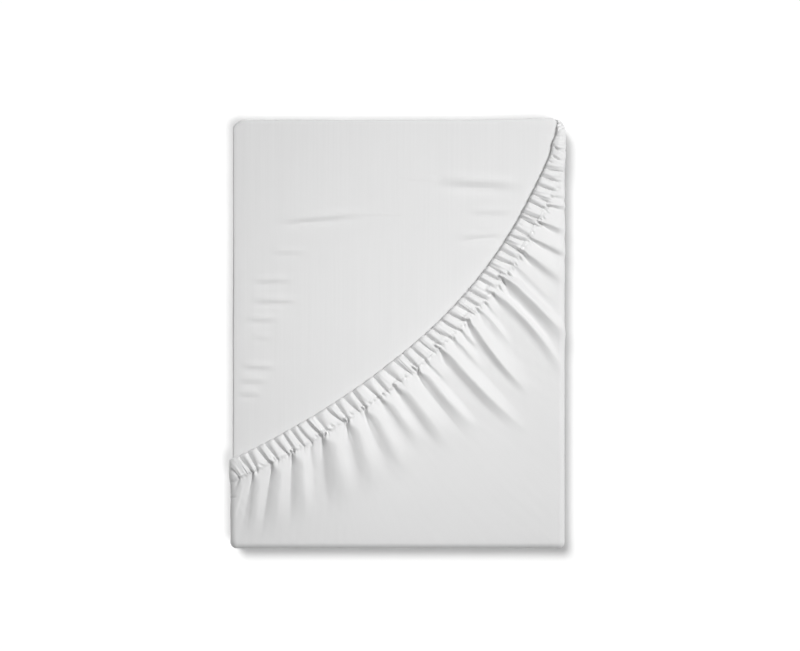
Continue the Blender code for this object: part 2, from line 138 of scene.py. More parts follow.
# The gathers, by the creases between them: where each crease leaves the hem's folded edge and
# where it meets the seam, how wide the slope behind it is at the edge, and how deep it is.
GATHERS = table(
    "edge seam wedge depth",
    (-28.0, -27.0, 2.5, 0.50),
    (-20.5, -18.0, 2.5, 0.45),
    (-12.5, -9.0, 2.5, 0.45),
    (-2.6, 0.3, 1.2, 0.35),
    (2.9, 5.6, 1.0, 0.13),
    (6.1, 10.7, 3.8, 0.80),
    (13.0, 14.6, 3.6, 0.80),
    (20.7, 24.8, 3.4, 0.95),
    (27.8, 31.2, 3.4, 0.75),
    (34.8, 39.8, 3.0, 0.90),
    (43.2, 44.4, 2.2, 0.80),
    (49.4, 52.4, 2.8, 0.80),
    (55.3, 58.6, 1.6, 1.00),
    (63.2, 68.0, 1.6, 1.20),
    (70.2, 72.8, 4.4, 0.75),
    (80.4, 86.4, 2.4, 0.85),
    (88.6, 90.2, 3.0, 0.85),
    (95.5, 100.0, 4.2, 0.85),
    (104.0, 105.6, 2.8, 1.15),
    (113.8, 118.0, 3.8, 0.85),
    (123.2, 125.3, 3.2, 1.00),
    (132.4, 137.2, 4.8, 0.90),
    (142.4, 146.8, 3.6, 0.85),
    (151.0, 153.2, 2.8, 0.95),
    (158.7, 161.2, 2.6, 0.85),
    (166.2, 169.6, 2.0, 0.65),
    (173.3, 176.8, 2.4, 1.05),
    (180.0, 184.9, 1.8, 0.95),
    (189.2, 192.8, 2.2, 1.00),
    (196.6, 201.6, 2.6, 0.95),
    (205.2, 209.2, 2.6, 0.90),
    (212.8, 216.1, 2.6, 1.00),
    (219.4, 223.2, 2.6, 1.05),
    (230.6, 233.6, 2.2, 1.10),
    (237.0, 239.9, 2.0, 0.95),
    (243.2, 245.5, 3.2, 1.00),
    (250.8, 254.3, 2.2, 0.95),
    (258.0, 259.9, 2.4, 0.95),
    (265.0, 265.5, 2.8, 1.15),
    (270.8, 274.8, 1.8, 1.00),
    (277.0, 277.8, 2.4, 0.85),
    (286.6, 287.5, 1.9, 1.00),
    (290.9, 293.0, 2.4, 1.00),
    (300.2, 300.6, 2.0, 0.90),
    (306.2, 306.6, 2.4, 1.00),
    (314.2, 315.2, 2.0, 0.95),
    (321.3, 322.2, 2.2, 1.00),
    (328.2, 330.0, 2.0, 0.95),
    (336.0, 338.0, 2.5, 0.25),
    (344.5, 346.0, 2.5, 0.25),
    (353.0, 354.0, 2.5, 0.15),
    (361.0, 361.0, 2.5, 0.15),
    (368.0, 368.0, 2.5, 0.15),
    (375.0, 375.0, 2.5, 0.15),
    (382.0, 382.0, 2.5, 0.15),
)

# How far the hem's folded edge wavers out of its even curve.
EDGE_WAVER = table(
    "hem out",
    (0.0, -0.2),
    (20.0, 0.2),
    (45.0, 0.8),
    (75.0, 1.0),
    (110.0, 1.1),
    (140.0, 1.1),
    (162.0, 0.6),
    (190.0, 0.3),
    (240.0, 0.4),
    (272.0, 0.7),
    (302.0, 0.9),
    (320.0, 0.4),
    (334.0, -0.5),
    (342.0, -0.9),
    (348.0, 0.4),
    (356.0, -0.8),
    (362.0, 0.2),
)

# The seam's distance from the hem's folded edge, along the hem.
SEAM_LINE = table(
    "hem width",
    (-28.0, 15.6),
    (60.0, 15.5),
    (140.0, 15.2),
    (200.0, 14.3),
    (260.0, 13.6),
    (320.0, 12.8),
    (382.0, 12.4),
)

# Short pinches: the cloth puckers at the seam and, here and there, at the hem's folded edge.
PUCKERS = table(
    "hem across length turn depth",
    (13.7, 16.0, 2.8, -55, 0.8),
    (18.6, 13.4, 3.4, 40, 0.5),
    (28.7, 13.0, 2.4, 80, 0.6),
    (38.9, 15.8, 1.8, -60, 0.5),
    (44.3, 15.2, 3.2, -50, 1.0),
    (49.4, 13.8, 2.6, 65, 0.4),
    (58.2, 16.8, 3.0, -70, 0.5),
    (63.6, 13.3, 3.2, 80, 0.5),
    (70.0, 15.7, 4.8, -42, 1.2),
    (72.6, 11.6, 2.0, 80, 0.6),
    (74.0, 14.3, 2.6, 40, 0.6),
    (77.6, 12.8, 3.2, 60, 0.8),
    (81.3, 14.0, 3.6, 85, 0.4),
    (89.3, 16.3, 3.8, -60, 1.0),
    (94.2, 13.2, 3.2, 50, 0.8),
    (104.9, 16.2, 3.6, -58, 1.1),
    (109.4, 13.8, 2.8, 75, 0.6),
    (113.2, 14.3, 3.8, -70, 0.6),
    (121.5, 14.8, 4.6, 82, 0.9),
    (131.7, 14.2, 4.6, 88, 0.9),
    (142.0, 14.0, 3.4, -82, 0.6),
    (152.0, 17.2, 4.8, -62, 1.2),
    (157.2, 15.0, 2.2, -40, 0.5),
    (160.9, 15.8, 4.0, 88, 0.7),
    (165.6, 15.0, 2.2, -50, 0.4),
    (174.2, 15.6, 2.4, -60, 0.5),
    (181.0, 15.0, 2.4, 70, 0.5),
    (186.6, 17.0, 3.6, -65, 0.9),
    (190.0, 14.0, 2.2, 70, 0.4),
    (194.3, 17.0, 4.2, 88, 0.8),
    (198.6, 15.4, 3.0, -70, 0.6),
    (203.2, 15.8, 3.8, -62, 1.1),
    (213.0, 15.0, 4.6, 85, 0.5),
    (220.8, 16.5, 4.4, 88, 0.9),
    (226.8, 13.4, 2.2, 30, 0.4),
    (229.5, 16.5, 4.4, 88, 0.9),
    (235.9, 16.3, 4.4, -65, 0.7),
    (241.2, 16.0, 3.8, -75, 1.0),
    (247.7, 16.0, 4.4, -85, 0.9),
    (252.3, 15.2, 3.2, -62, 0.8),
    (256.1, 15.6, 3.2, -70, 0.5),
    (261.6, 15.6, 4.0, -66, 0.8),
    (266.4, 15.8, 3.4, 85, 0.8),
    (269.6, 13.6, 2.2, 60, 0.4),
    (273.2, 15.2, 2.0, -50, 0.4),
    (282.0, 13.0, 2.8, 80, 0.6),
    (290.6, 15.4, 4.0, 85, 0.8),
    (294.6, 15.0, 2.4, -55, 0.6),
    (299.7, 15.0, 3.6, -80, 0.5),
    (303.8, 14.4, 3.2, 50, 0.8),
    (310.6, 13.6, 2.8, -70, 0.6),
    (318.6, 15.3, 2.2, 70, 0.4),
    (333.4, 14.0, 2.6, 85, 0.6),
    (225.6, 2.4, 3.4, 75, 0.5),
    (281.9, 2.6, 3.2, 80, 0.5),
    (295.3, 2.6, 3.2, 80, 0.4),
    (333.8, 2.2, 3.4, 85, 0.7),
    (338.0, 4.6, 7.6, 112, 0.7),
    (344.2, 5.2, 10.5, 112, 0.8),
    (359.6, 2.4, 4.6, 45, 1.0),
    (362.4, 2.0, 4.8, 45, 1.1),
    (365.2, 1.6, 4.4, 45, 1.0),
)

# Threads of the skirt, by where they leave the hem's seam: the place, on the unrolled cloth,
# where the thread turns straight down the packet's side.
THREADS = table(
    "hem x y",
    (-28.0, -145.4, -122.0),
    (-20.0, -145.2, -126.0),
    (-12.0, -144.0, -130.0),
    (-5.0, -138.0, -135.0),
    (0.0, -130.0, -140.0),
    (3.0, -126.4, -146.0),
    (5.2, -126.4, -152.5),
    (6.3, -126.4, -156.7),
    (6.9, -126.0, -158.8),
    (7.5, -124.8, -160.6),
    (8.1, -123.0, -161.8),
    (8.7, -120.9, -162.2),
    (11.0, -114.0, -162.2),
    (25.3, -102.0, -162.2),
    (42.0, -79.0, -162.2),
    (67.5, -45.0, -162.2),
    (87.8, -6.0, -162.2),
    (104.2, 38.0, -162.2),
    (118.5, 70.0, -162.2),
    (132.0, 95.0, -162.2),
    (146.6, 117.0, -162.2),
    (149.0, 120.9, -162.2),
    (150.0, 123.0, -161.8),
    (151.0, 124.8, -160.6),
    (152.0, 126.0, -158.8),
    (153.0, 126.4, -156.7),
    (156.0, 126.4, -149.0),
    (174.4, 126.4, -108.0),
    (203.0, 126.4, -78.0),
    (229.5, 126.4, -36.0),
    (252.8, 126.4, 10.0),
    (276.8, 126.4, 56.0),
    (305.0, 126.4, 93.5),
    (320.0, 126.6, 110.5),
    (335.0, 128.6, 126.0),
    (352.0, 136.0, 144.8),
    (364.5, 138.2, 156.2),
    (372.0, 138.9, 164.6),
    (382.0, 139.9, 174.2),
)

# The casing's section, from its folded edge over the seam and into the puckers behind it.
CASING = table(
    "across height gather",
    (0.0, 1.9, 1.3),
    (1.2, 2.3, 1.8),
    (2.6, 2.4, 2.2),
    (5.5, 2.5, 2.5),
    (9.0, 2.6, 2.5),
    (12.0, 2.6, 2.2),
    (13.8, 2.3, 1.8),
    (15.2, 1.8, 1.1),
    (16.3, 1.6, 0.6),
    (18.0, 1.5, 0.25),
    (22.0, 1.4, 0.0),
    (28.0, 1.25, 0.0),
    (38.0, 1.2, 0.0),
)

# The skirt's folds: where each starts on the seam, how wide its steep side grows, how high it
# stands, how far down the skirt it runs, how far it leans along the hem by its end, which side
# of the steep slope is sharp, -1 its foot or 1 its crest, and how far its middle bows.
SKIRT_FOLDS = table(
    "hem steep height reach lean edge bow",
    (0.3, 5.5, 1.2, 58, 0.0, -0.7, 0.0),
    (10.9, 8.0, 2.0, 68, -1.0, -0.8, 0.0),
    (26.6, 9.0, 2.5, 74, -1.5, -0.8, 0.0),
    (42.8, 10.0, 2.7, 72, -1.0, -0.8, 0.0),
    (57.8, 5.0, 0.7, 38, 0.0, -0.5, 0.0),
    (67.9, 11.0, 3.3, 76, -1.0, -0.7, 0.0),
    (88.4, 9.0, 3.1, 76, -5.0, -0.6, 0.0),
    (103.8, 8.5, 2.8, 76, -4.0, -0.5, 0.0),
    (118.4, 7.5, 2.4, 64, -2.0, -0.5, 0.0),
    (131.8, 8.0, 3.0, 78, -1.0, -0.5, 0.0),
    (151.4, 7.5, 3.1, 82, 0.0, -0.3, -0.8),
    (160.7, 3.8, 1.5, 42, 0.0, 0.0, 0.0),
    (174.8, 7.6, 3.4, 106, 0.5, 0.2, -2.2),
    (186.0, 5.0, 1.8, 52, -1.0, 0.0, 0.0),
    (194.3, 3.0, 1.2, 38, 0.0, 0.0, 0.0),
    (203.4, 6.4, 3.3, 92, -2.0, 0.3, -2.8),
    (214.4, 6.6, 2.0, 54, -1.0, 0.2, 0.0),
    (220.9, 3.0, 1.1, 32, 0.0, 0.0, 0.0),
    (229.6, 6.0, 2.9, 104, -1.5, 0.2, 4.6),
    (236.0, 2.4, 0.8, 28, 0.0, 0.0, 0.0),
    (243.4, 8.2, 4.4, 96, 1.0, 0.4, 1.0),
    (248.4, 3.0, 1.0, 30, 0.0, 0.0, 0.0),
    (255.4, 4.5, 1.1, 70, -1.0, 0.5, 0.0),
    (266.6, 4.8, 3.0, 60, 0.0, 0.5, 0.0),
    (277.6, 3.6, 2.4, 54, 1.0, 0.3, 0.0),
    (291.0, 4.0, 2.2, 42, 0.0, 0.3, 0.0),
    (304.4, 2.8, 1.7, 36, 2.0, 0.3, 0.0),
    (311.2, 2.6, 0.9, 32, 2.0, 0.0, 0.0),
)

# How strongly the front panel's creases show.
CREASE_DEPTH = 1.35
# Soft ridges pressed into the front panel: middle, length, turn in degrees, width and height.
FRONT_CREASES = table(
    "x y length turn width height",
    (-56.0, 86.2, 76.0, 5.3, 7.5, 0.95),
    (-81.4, 60.5, 32.0, 0.0, 6.0, 0.50),
    (-93.4, 39.1, 34.0, 2.0, 6.0, 0.70),
    (-91.0, 24.0, 42.0, 0.0, 6.0, 0.78),
    (-101.2, 10.0, 28.0, 0.0, 6.0, 0.62),
    (-101.0, -3.5, 18.0, 0.0, 6.0, 0.32),
    (-103.5, -25.7, 30.0, -2.0, 6.0, 0.72),
    (-107.6, -36.2, 24.0, 0.0, 5.5, 0.64),
    (-111.0, -46.0, 20.0, 0.0, 5.5, 0.58),
    (61.9, 111.9, 76.0, -3.0, 11.0, 1.00),
    (72.1, 90.5, 44.0, 0.0, 7.0, 0.52),
    (68.0, 78.1, 22.0, 2.0, 5.5, 0.28),
    (64.1, 72.6, 44.0, 4.0, 7.0, 0.68),
)
# The same on the back panel, where nothing shows in use: a guess.
BACK_CREASES = table(
    "x y length turn width height",
    (-52.0, 96.0, 74.0, 8.0, 13.0, 0.30),
    (40.0, 48.0, 62.0, -6.0, 12.0, 0.26),
    (-30.0, -22.0, 70.0, 4.0, 12.0, 0.24),
    (58.0, -88.0, 56.0, 12.0, 13.0, 0.28),
)


# ---------------------------------------------------------------- helpers
def smooth(value):
    """0 below 0, 1 above 1, and a soft step between."""
    value = np.clip(value, 0.0, 1.0)
    return value * value * (3.0 - 2.0 * value)


def half_wave(turn):
    """A wave between 0 and 1."""
    return 0.5 + 0.5 * np.sin(turn)


def column(rows, name):
    """A table's named column."""
    return np.array([getattr(row, name) for row in rows], float)


def read_table(rows, key, at, name):
    """A table's named column at places along its key column, read between rows."""
    return np.interp(at, column(rows, key), column(rows, name))


def grid_faces(rows, columns):
    """Quads between neighbouring rows of a grid of vertices, row after row."""
    first = (np.arange(rows - 1)[:, None] * columns + np.arange(columns - 1)[None, :]).ravel()
    return np.stack([first, first + 1, first + columns + 1, first + columns], axis=1)


def new_piece(name, points, faces, cloth, material):
    """A smooth mesh object whose UV map tells where each point lies on the cloth, in metres."""
    mesh = bpy.data.meshes.new(name)
    mesh.from_pydata(points.tolist(), [], faces)
    mesh.validate()
    corners = np.empty(len(mesh.loops), dtype=np.int32)
    mesh.loops.foreach_get("vertex_index", corners)
    layer = mesh.uv_layers.new(name="cloth")
    layer.data.foreach_set("uv", cloth[corners].astype(np.float32).ravel())
    mesh.materials.append(material)
    mesh.shade_smooth()
    piece = bpy.data.objects.new(name, mesh)
    bpy.context.scene.collection.objects.link(piece)
    return piece


def give_thickness(piece, thickness, offset):
    """The cloth's own thickness, applied."""
    solid = piece.modifiers.new("cloth thickness", "SOLIDIFY")
    solid.thickness = thickness
    solid.offset = offset
    bpy.context.view_layer.update()
    evaluated = piece.evaluated_get(bpy.context.evaluated_depsgraph_get())
    mesh = bpy.data.meshes.new_from_object(evaluated)
    piece.modifiers.clear()
    old = piece.data
    piece.data = mesh
    bpy.data.meshes.remove(old)
    mesh.name = piece.name
    mesh.shade_smooth()


# A pressed crease's section: how steep its ridge and hollow are, how far each lies from the
# middle, and how deep the hollow is.  Lengthwise it tapers off, and fades from one end.
CREASE_STEEP = 2.2
CREASE_APART = 0.55
CREASE_HOLLOW = 0.8
CREASE_TAPER = 1.3
CREASE_FADE = 0.3


def pressed(x, y, creases):
    """Height of soft pressed creases at places of a panel, in metres: a ridge over a hollow."""
    total = np.zeros(np.broadcast(x, y).shape)
    for crease in creases:
        turn = radians(crease.turn)
        away_x = x - crease.x * MM
        away_y = y - crease.y * MM
        along = (away_x * np.cos(turn) + away_y * np.sin(turn)) / (crease.length * MM / 2)
        across = (away_y * np.cos(turn) - away_x * np.sin(turn)) / (crease.width * MM / 2)
        taper = smooth(CREASE_TAPER * (1.0 - np.abs(along)))
        raised = np.exp(-CREASE_STEEP * (across - CREASE_APART) ** 2)
        hollow = np.exp(-CREASE_STEEP * (across + CREASE_APART) ** 2)
        height = crease.height * MM * (raised - CREASE_HOLLOW * hollow)
        total += height * taper * (1.0 - CREASE_FADE * along)
    return total


# ---------------------------------------------------------------- the folded body
Station = namedtuple("Station", "low share along bulge offset normal side")
# How far the wave of uneven folded edges turns from fold to fold, and how much a layer's own turn
# counts on the right side.
PLY_TURN = 2.3
LAYER_TURN = 1.9
# Waves along the pile's long sides and along its top end, which differ from layer to layer.
SIDE_WAVES = table("share rate turn", (1.0, 23.0, 5.0), (0.6, 61.0, 3.1))
END_WAVES = table("share rate turn", (1.0, 29.0, 4.0), (0.5, 73.0, 2.3))
END_WAVER = 0.8
# Where these begin, near the sides and near the top end, and over what width, in metres.
SIDE_WAVER_FROM = 0.112
SIDE_WAVER_WIDTH = 0.011
END_WAVER_FROM = 0.15
END_WAVER_WIDTH = 0.010
# How the front panel rolls down at its left, right and top edges: a share, and a width in metres.
SHOULDERS = table("share width", (0.8, 0.0026), (1.0, 0.0016), (0.6, 0.0018))
# The height at which the rolled edges and the creases begin, and over what height, in metres.
SHOULDER_FROM = 0.016
SHOULDER_HEIGHT = 0.008
CREASE_FROM = 0.010
CREASE_HEIGHT = 0.014
# The column and the row of the grid along which the cloth's flat size is measured.
SIZE_LINE = 5


def fold_stations(count, pitch, steps, turn_steps, fine, fine_steps):
    """Stations of a back-and-forth line of so many runs, with half-round turns between them.

    A run has so many steps, and the one numbered fine has fine_steps.  Even runs go up, from
    along = 0 to 1.
    """
    stations = []
    for run in range(count):
        cuts = fine_steps if run == fine else steps
        for k in range(cuts + 1):
            along = k / cuts if run % 2 == 0 else 1.0 - k / cuts
            stations.append(Station(run, 0.0, along, 0.0, run * pitch, 1.0 - 2.0 * (run % 2), 0.0))
        if run == count - 1:
            return stations
        side = 1.0 if run % 2 == 0 else -1.0
        for k in range(1, turn_steps):
            share = k / turn_steps
            turn = pi * share
            offset = run * pitch + pitch / 2 * (1.0 - np.cos(turn))
            bulge = pitch / 2 * np.sin(turn)
            along = 1.0 if side > 0 else 0.0
            stations.append(Station(run, share, along, bulge, offset, side * np.cos(turn), side))
    return stations


def between(rows, stations, name):
    """A table column read at stations that turn from one row to the next."""
    values = column(rows, name)
    low = np.array([s.low for s in stations])
    share = column(stations, "share")
    high = np.minimum(low + 1, len(values) - 1)
    return values[low] * (1.0 - share) + values[high] * share


def folded_points(packet):
    """Points of the doubly folded sheet: plies run across, and layers of six plies run along.

    Rows of the grid go along the sheet's length, columns across its width.
    """
    along = fold_stations(
        LAYERS, LAYER_PITCH, steps=2, turn_steps=8, fine=LAYERS - 1, fine_steps=packet.panel_rows)
    across = fold_stations(
        PLIES, packet.ply_pitch, steps=3, turn_steps=6, fine=0, fine_steps=packet.panel_columns)
    reach = (LAYER_PITCH + LAYER_THICK) / 2

    def rows_of(name):
        return column(along, name)[:, None]

    def columns_of(name):
        return column(across, name)[None, :]

    left = -STACK_HALF_WIDTH + between(LAYER_SETBACK, along, "left")[:, None] * MM
    right = STACK_HALF_WIDTH - between(LAYER_SETBACK, along, "right")[:, None] * MM
    wave = between(LAYER_SETBACK, along, "wave")[:, None]
    radius = packet.ply_pitch / 2
    ply = columns_of("offset") / packet.ply_pitch
    left = left + radius + packet.edge_uneven * half_wave(PLY_TURN * np.floor(ply / 2) + wave)
    loop = np.floor((ply + 1.0) / 2)
    right = right - radius - packet.edge_uneven * half_wave(PLY_TURN * loop + LAYER_TURN * wave)
    # The first ply runs from the right to the left, so that its fold shows on the left.
    share = 1.0 - columns_of("along")
    x = left + share * (right - left) - columns_of("side") * columns_of("bulge")

    cut_at = np.clip((STACK_HALF_WIDTH - np.abs(x)) / CORNER_CUT_WIDTH, 0.0, 1.0)
    corner = CORNER_CUT * (1.0 - cut_at) ** CORNER_BEND * np.where(x > 0, RIGHT_CORNER, 1.0)
    rise = TOP_RISE * smooth((x - TOP_RISE_FROM) / TOP_RISE_WIDTH)
    top_end = STACK_TOP - between(LAYER_SETBACK, along, "top")[:, None] * MM - reach - corner + rise
    low_end = STACK_BOTTOM + reach + corner
    offset = columns_of("offset") - packet.ply_pitch * (PLIES - 1) / 2
    turning = rows_of("side")
    normal_z = rows_of("normal")
    normal_y = -np.sqrt(np.maximum(0.0, 1.0 - normal_z**2))
    y = low_end + rows_of("along") * (top_end - low_end)
    y = y + turning * rows_of("bulge") + offset * normal_y
    z = LAYER_THICK / 2 + rows_of("offset") + offset * normal_z
    return x, y, z, along, across


def waver(waves, along, z):
    """How far an edge lies back, from 0 up, by waves that differ from layer to layer."""
    swing = sum(wave.share * np.sin(wave.rate * along + wave.turn * z / LAYER_PITCH) for wave in waves)
    return swing + sum(wave.share for wave in waves)


def folded_body(packet):
    """The folded body: points, faces, their places on the cloth, and the cloth's flat size."""
    x, y, z, along, across = folded_points(packet)
    near_side = smooth((np.abs(x) - SIDE_WAVER_FROM) / SIDE_WAVER_WIDTH)
    x = x - np.sign(x) * packet.edge_waver * waver(SIDE_WAVES, y, z) * near_side
    near_end = smooth((y - END_WAVER_FROM) / END_WAVER_WIDTH)
    y = y - packet.edge_waver * END_WAVER * waver(END_WAVES, x, z) * near_end

    # The pile sits on the back panel, a little pressed, with its top edges rolled over.
    squeezed = (STACK_TOP_Z - packet.body_lift) / STACK_TOP_Z
    z = packet.body_lift + z * squeezed
    edges = (x + STACK_HALF_WIDTH, STACK_HALF_WIDTH - x, STACK_TOP - y)
    rolled = sum(roll.share * np.exp(-edge / roll.width) for roll, edge in zip(SHOULDERS, edges))
    rolled = rolled * smooth((z - SHOULDER_FROM) / SHOULDER_HEIGHT)
    z = z - packet.edge_press * rolled
    creased = CREASE_DEPTH * pressed(x, y, FRONT_CREASES)
    z = z + creased * smooth((z - CREASE_FROM) / CREASE_HEIGHT)

    points = np.stack([x - MIDDLE[0], y - MIDDLE[1], z], axis=-1).reshape(-1, 3)
    faces = grid_faces(len(along), len(across)).tolist()
    run_y = np.cumsum(np.r_[0.0, np.hypot(np.diff(y[:, SIZE_LINE]), np.diff(z[:, SIZE_LINE]))])
    run_x = np.cumsum(np.r_[0.0, np.hypot(np.diff(x[SIZE_LINE]), np.diff(z[SIZE_LINE]))])
    cloth = np.stack(np.broadcast_arrays(run_x[None, :], run_y[:, None]), axis=-1).reshape(-1, 2)
    return points, faces, cloth, (float(run_x[-1]), float(run_y[-1]))


# ---------------------------------------------------------------- the unrolled cloth
def beyond_flat(x, y):
    """Nearest point of the front's flat, and how far and which way a place lies beyond it."""
    corner = np.where((x > 0) & (y > 0), TOP_RIGHT_ROUND, 0.0)
    inset = EDGE_RADIUS + corner
    flat_x = np.clip(x, -INNER_HALF_WIDTH + inset, INNER_HALF_WIDTH - inset)
    flat_y = np.clip(y, INNER_BOTTOM + inset, INNER_TOP - inset)
    far = np.hypot(x - flat_x, y - flat_y)
    beyond = far > corner + 1e-9
    reach = np.where(beyond, far, 1.0)
    out_x = np.where(beyond, (x - flat_x) / reach, 0.0)
    out_y = np.where(beyond, (y - flat_y) / reach, 0.0)
    flat_x = np.where(beyond, flat_x + corner * out_x, x)
    flat_y = np.where(beyond, flat_y + corner * out_y, y)
    return flat_x, flat_y, np.where(beyond, far - corner, 0.0), out_x, out_y


def roll_down(beyond):
    """Outward step, drop and tilt of the cloth's underside, so far beyond the front's flat."""
    turn = np.clip(beyond, 0.0, EDGE_ARC) / EDGE_RADIUS
    wall = np.clip(beyond - EDGE_ARC, 0.0, WALL_DROP)
    foot = np.clip(beyond - FOOT, 0.0, FOOT_ARC) / FOOT_RADIUS
    tuck = np.maximum(0.0, beyond - FOOT - FOOT_ARC)
    outward = EDGE_RADIUS * np.sin(turn) - FOOT_RADIUS * (1.0 - np.cos(foot)) - tuck
    drop = EDGE_RADIUS * (1.0 - np.cos(turn)) + wall + FOOT_RADIUS * np.sin(foot)
    return outward, drop, turn + foot


def wrap(x, y, height, further=0.0):
    """Points of the unrolled cloth, so high over its underside, placed round the packet."""
    flat_x, flat_y, far, out_x, out_y = beyond_flat(x, y)
    outward, drop, tilt = roll_down(far + further)
    outward = outward + height * np.sin(tilt)
    z = UNDER_Z - drop + height * np.cos(tilt)
    return np.stack([flat_x + out_x * outward - MIDDLE[0], flat_y + out_y * outward - MIDDLE[1], z], -1)


# ---------------------------------------------------------------- the hem's line and threads
HEM_SAMPLES = 2001
# How the gathers bend across the casing, from the folded edge to the seam.
BAND_BEND = 1.3
# The search for the end of the front's flat: its step in millimetres, and how many at most.
FLAT_STEP = 0.25
FLAT_TRIES = 600


def hem_samples():
    """The hem's cubic curve: lengths, places and directions at close steps, in metres."""
    share = np.linspace(0.0, 1.0, HEM_SAMPLES)[:, None]
    rest = 1.0 - share
    p = [np.array([point.x, point.y]) * MM for point in HEM_LINE]
    place = p[0] * rest**3 + p[1] * 3 * rest**2 * share + p[2] * 3 * rest * share**2 + p[3] * share**3
    heading = (p[1] - p[0]) * rest**2 + (p[2] - p[1]) * 2 * rest * share + (p[3] - p[2]) * share**2
    heading /= np.linalg.norm(heading, axis=1)[:, None]
    lengths = np.r_[0.0, np.cumsum(np.linalg.norm(np.diff(place, axis=0), axis=1))]
    return lengths, place, heading


HEM_LENGTHS, HEM_PLACES, HEM_HEADINGS = hem_samples()


def hem_point(along, across):
    """Places so many millimetres along the hem's folded edge, and so far in from it."""
    along = along * MM
    inside = np.clip(along, 0.0, HEM_LENGTHS[-1])
    place = np.stack([np.interp(inside, HEM_LENGTHS, HEM_PLACES[:, k]) for k in (0, 1)], -1)
    heading = np.stack([np.interp(inside, HEM_LENGTHS, HEM_HEADINGS[:, k]) for k in (0, 1)], -1)
    inward = np.stack([heading[..., 1], -heading[..., 0]], -1)
    across = np.asarray(across * MM)[..., None]
    return place + heading * (along - inside)[..., None] + inward * across


def seam_width(hem):
    """Distance in millimetres from the hem's folded edge to the seam."""
    return read_table(SEAM_LINE, "hem", hem, "width")


def band_share(across):
    """How far over the casing a place is: 0 at the folded edge, 1 from the seam on."""
    return np.clip(across / HEM_WIDTH, 0.0, 1.0) ** BAND_BEND


class Threads:
    """The skirt's threads at many places along the seam: hem edge, seam, turn, then down."""

    def __init__(self, hem, edge):
        self.hem = hem
        self.edge = edge
        self.seam = hem_point(hem, seam_width(hem))
        self.turn = np.stack([read_table(THREADS, "hem", hem, axis) * MM for axis in "xy"], -1)
        self.skirt = np.linalg.norm(self.turn - self.seam, axis=-1) / MM
        _, _, far, out_x, out_y = beyond_flat(self.turn[:, 0], self.turn[:, 1])
        self.down = np.stack([out_x, out_y], -1)
        self.turned = HEM_WIDTH + self.skirt
        self.whole = self.turned + np.maximum(0.0, FOOT - far) / MM
        half_step = 0.5
        ahead = hem_point(hem + half_step, 0.0) - hem_point(hem - half_step, 0.0)
        run = self.turn - self.seam
        self.slant = (run * ahead).sum(-1) / (run[:, 0] * ahead[:, 1] - run[:, 1] * ahead[:, 0])
        self.flat = self.find_flat()

    def along(self, across):
        """How far along the hem each column is, so far in from the hem's edge, in millimetres."""
        slanted = self.slant * np.maximum(across - HEM_WIDTH, 0.0)
        return self.edge + (self.hem - self.edge) * band_share(across) + slanted

    def spot(self, across):
        """Places of the unrolled cloth, for rows of distances in millimetres from the hem's edge."""
        in_band = np.minimum(across, HEM_WIDTH) / HEM_WIDTH
        along = self.edge + (self.hem - self.edge) * band_share(across)
        out = read_table(EDGE_WAVER, "hem", along, "out") * (1.0 - in_band) ** 2
        band = hem_point(along, in_band * seam_width(along) - out)
        in_skirt = np.clip(across - HEM_WIDTH, 0.0, self.skirt)[..., None] / self.skirt[:, None]
        below = np.maximum(across - self.turned, 0.0)[..., None] * MM
        return band + (self.turn - self.seam) * in_skirt + self.down * below

    def find_flat(self):
        """How far in from the hem's edge the front's flat ends, in millimetres."""
        flat = self.turned.copy()
        for _ in range(FLAT_TRIES):
            spot = self.spot(flat)
            beyond = beyond_flat(spot[:, 0], spot[:, 1])[2] > 0.0
            if not beyond.any():
                break
            flat = np.where(beyond, np.maximum(flat - FLAT_STEP, 0.0), flat)
        return flat


# ---------------------------------------------------------------- gathers and folds
# Places along the seam whose threads go down over the packet's two bottom corners.
CORNER_THREADS = (7.5, 151.0)
# Where a gather's columns lie, from its own crease to the next one; close together on its slope.
GATHER_CUTS = (
    0.0, 0.04, 0.085, 0.14, 0.20, 0.27, 0.345, 0.425, 0.51, 0.595, 0.68, 0.77, 0.86, 0.95)


def gather_columns():
    """Columns of the pocket: place at the seam, place at the edge, phase, and gather's number."""
    seam, edge, phases, numbers = [], [], [], []
    for number, (gather, after) in enumerate(zip(GATHERS[:-1], GATHERS[1:])):
        cuts = np.array(GATHER_CUTS)
        if any(gather.seam < place < after.seam for place in CORNER_THREADS):
            between_cuts = (cuts + np.r_[cuts[1:], 1.0]) / 2
            cuts = np.sort(np.r_[cuts, between_cuts])
        for phase in cuts:
            seam.append(gather.seam + (after.seam - gather.seam) * phase)
            edge.append(gather.edge + (after.edge - gather.edge) * phase)
            phases.append(phase)
            numbers.append(number)
    return np.array(seam), np.array(edge), np.array(phases), np.array(numbers)


# Stretches of the hem, in millimetres along it: where one begins, over what length it comes in,
# where it ends, and over what length it goes out.
Stretch = namedtuple("Stretch", "start rise end fall")
OVER_FRONT = Stretch(-10.0, 16.0, 356.0, 26.0)
LIFTED = Stretch(150.0, 90.0, 345.0, 40.0)
ROUNDED = Stretch(130.0, 90.0, 330.0, 40.0)
# How slack the hem is where it is pulled tight over the packet's edges, if it is 1 over the front.
TIGHT_SHARE = 0.3


def inside_stretch(hem, stretch, most=1.0):
    """Its most in the middle of a stretch of the hem, and softly down to 0 at its ends."""
    rise = smooth((hem - stretch.start) / stretch.rise)
    return most * rise * smooth((stretch.end - hem) / stretch.fall)


def end_ease(hem):
    """How slack the hem is: 1 over the front, and less where it goes over the packet's edges."""
    return TIGHT_SHARE + inside_stretch(hem, OVER_FRONT, 1.0 - TIGHT_SHARE)


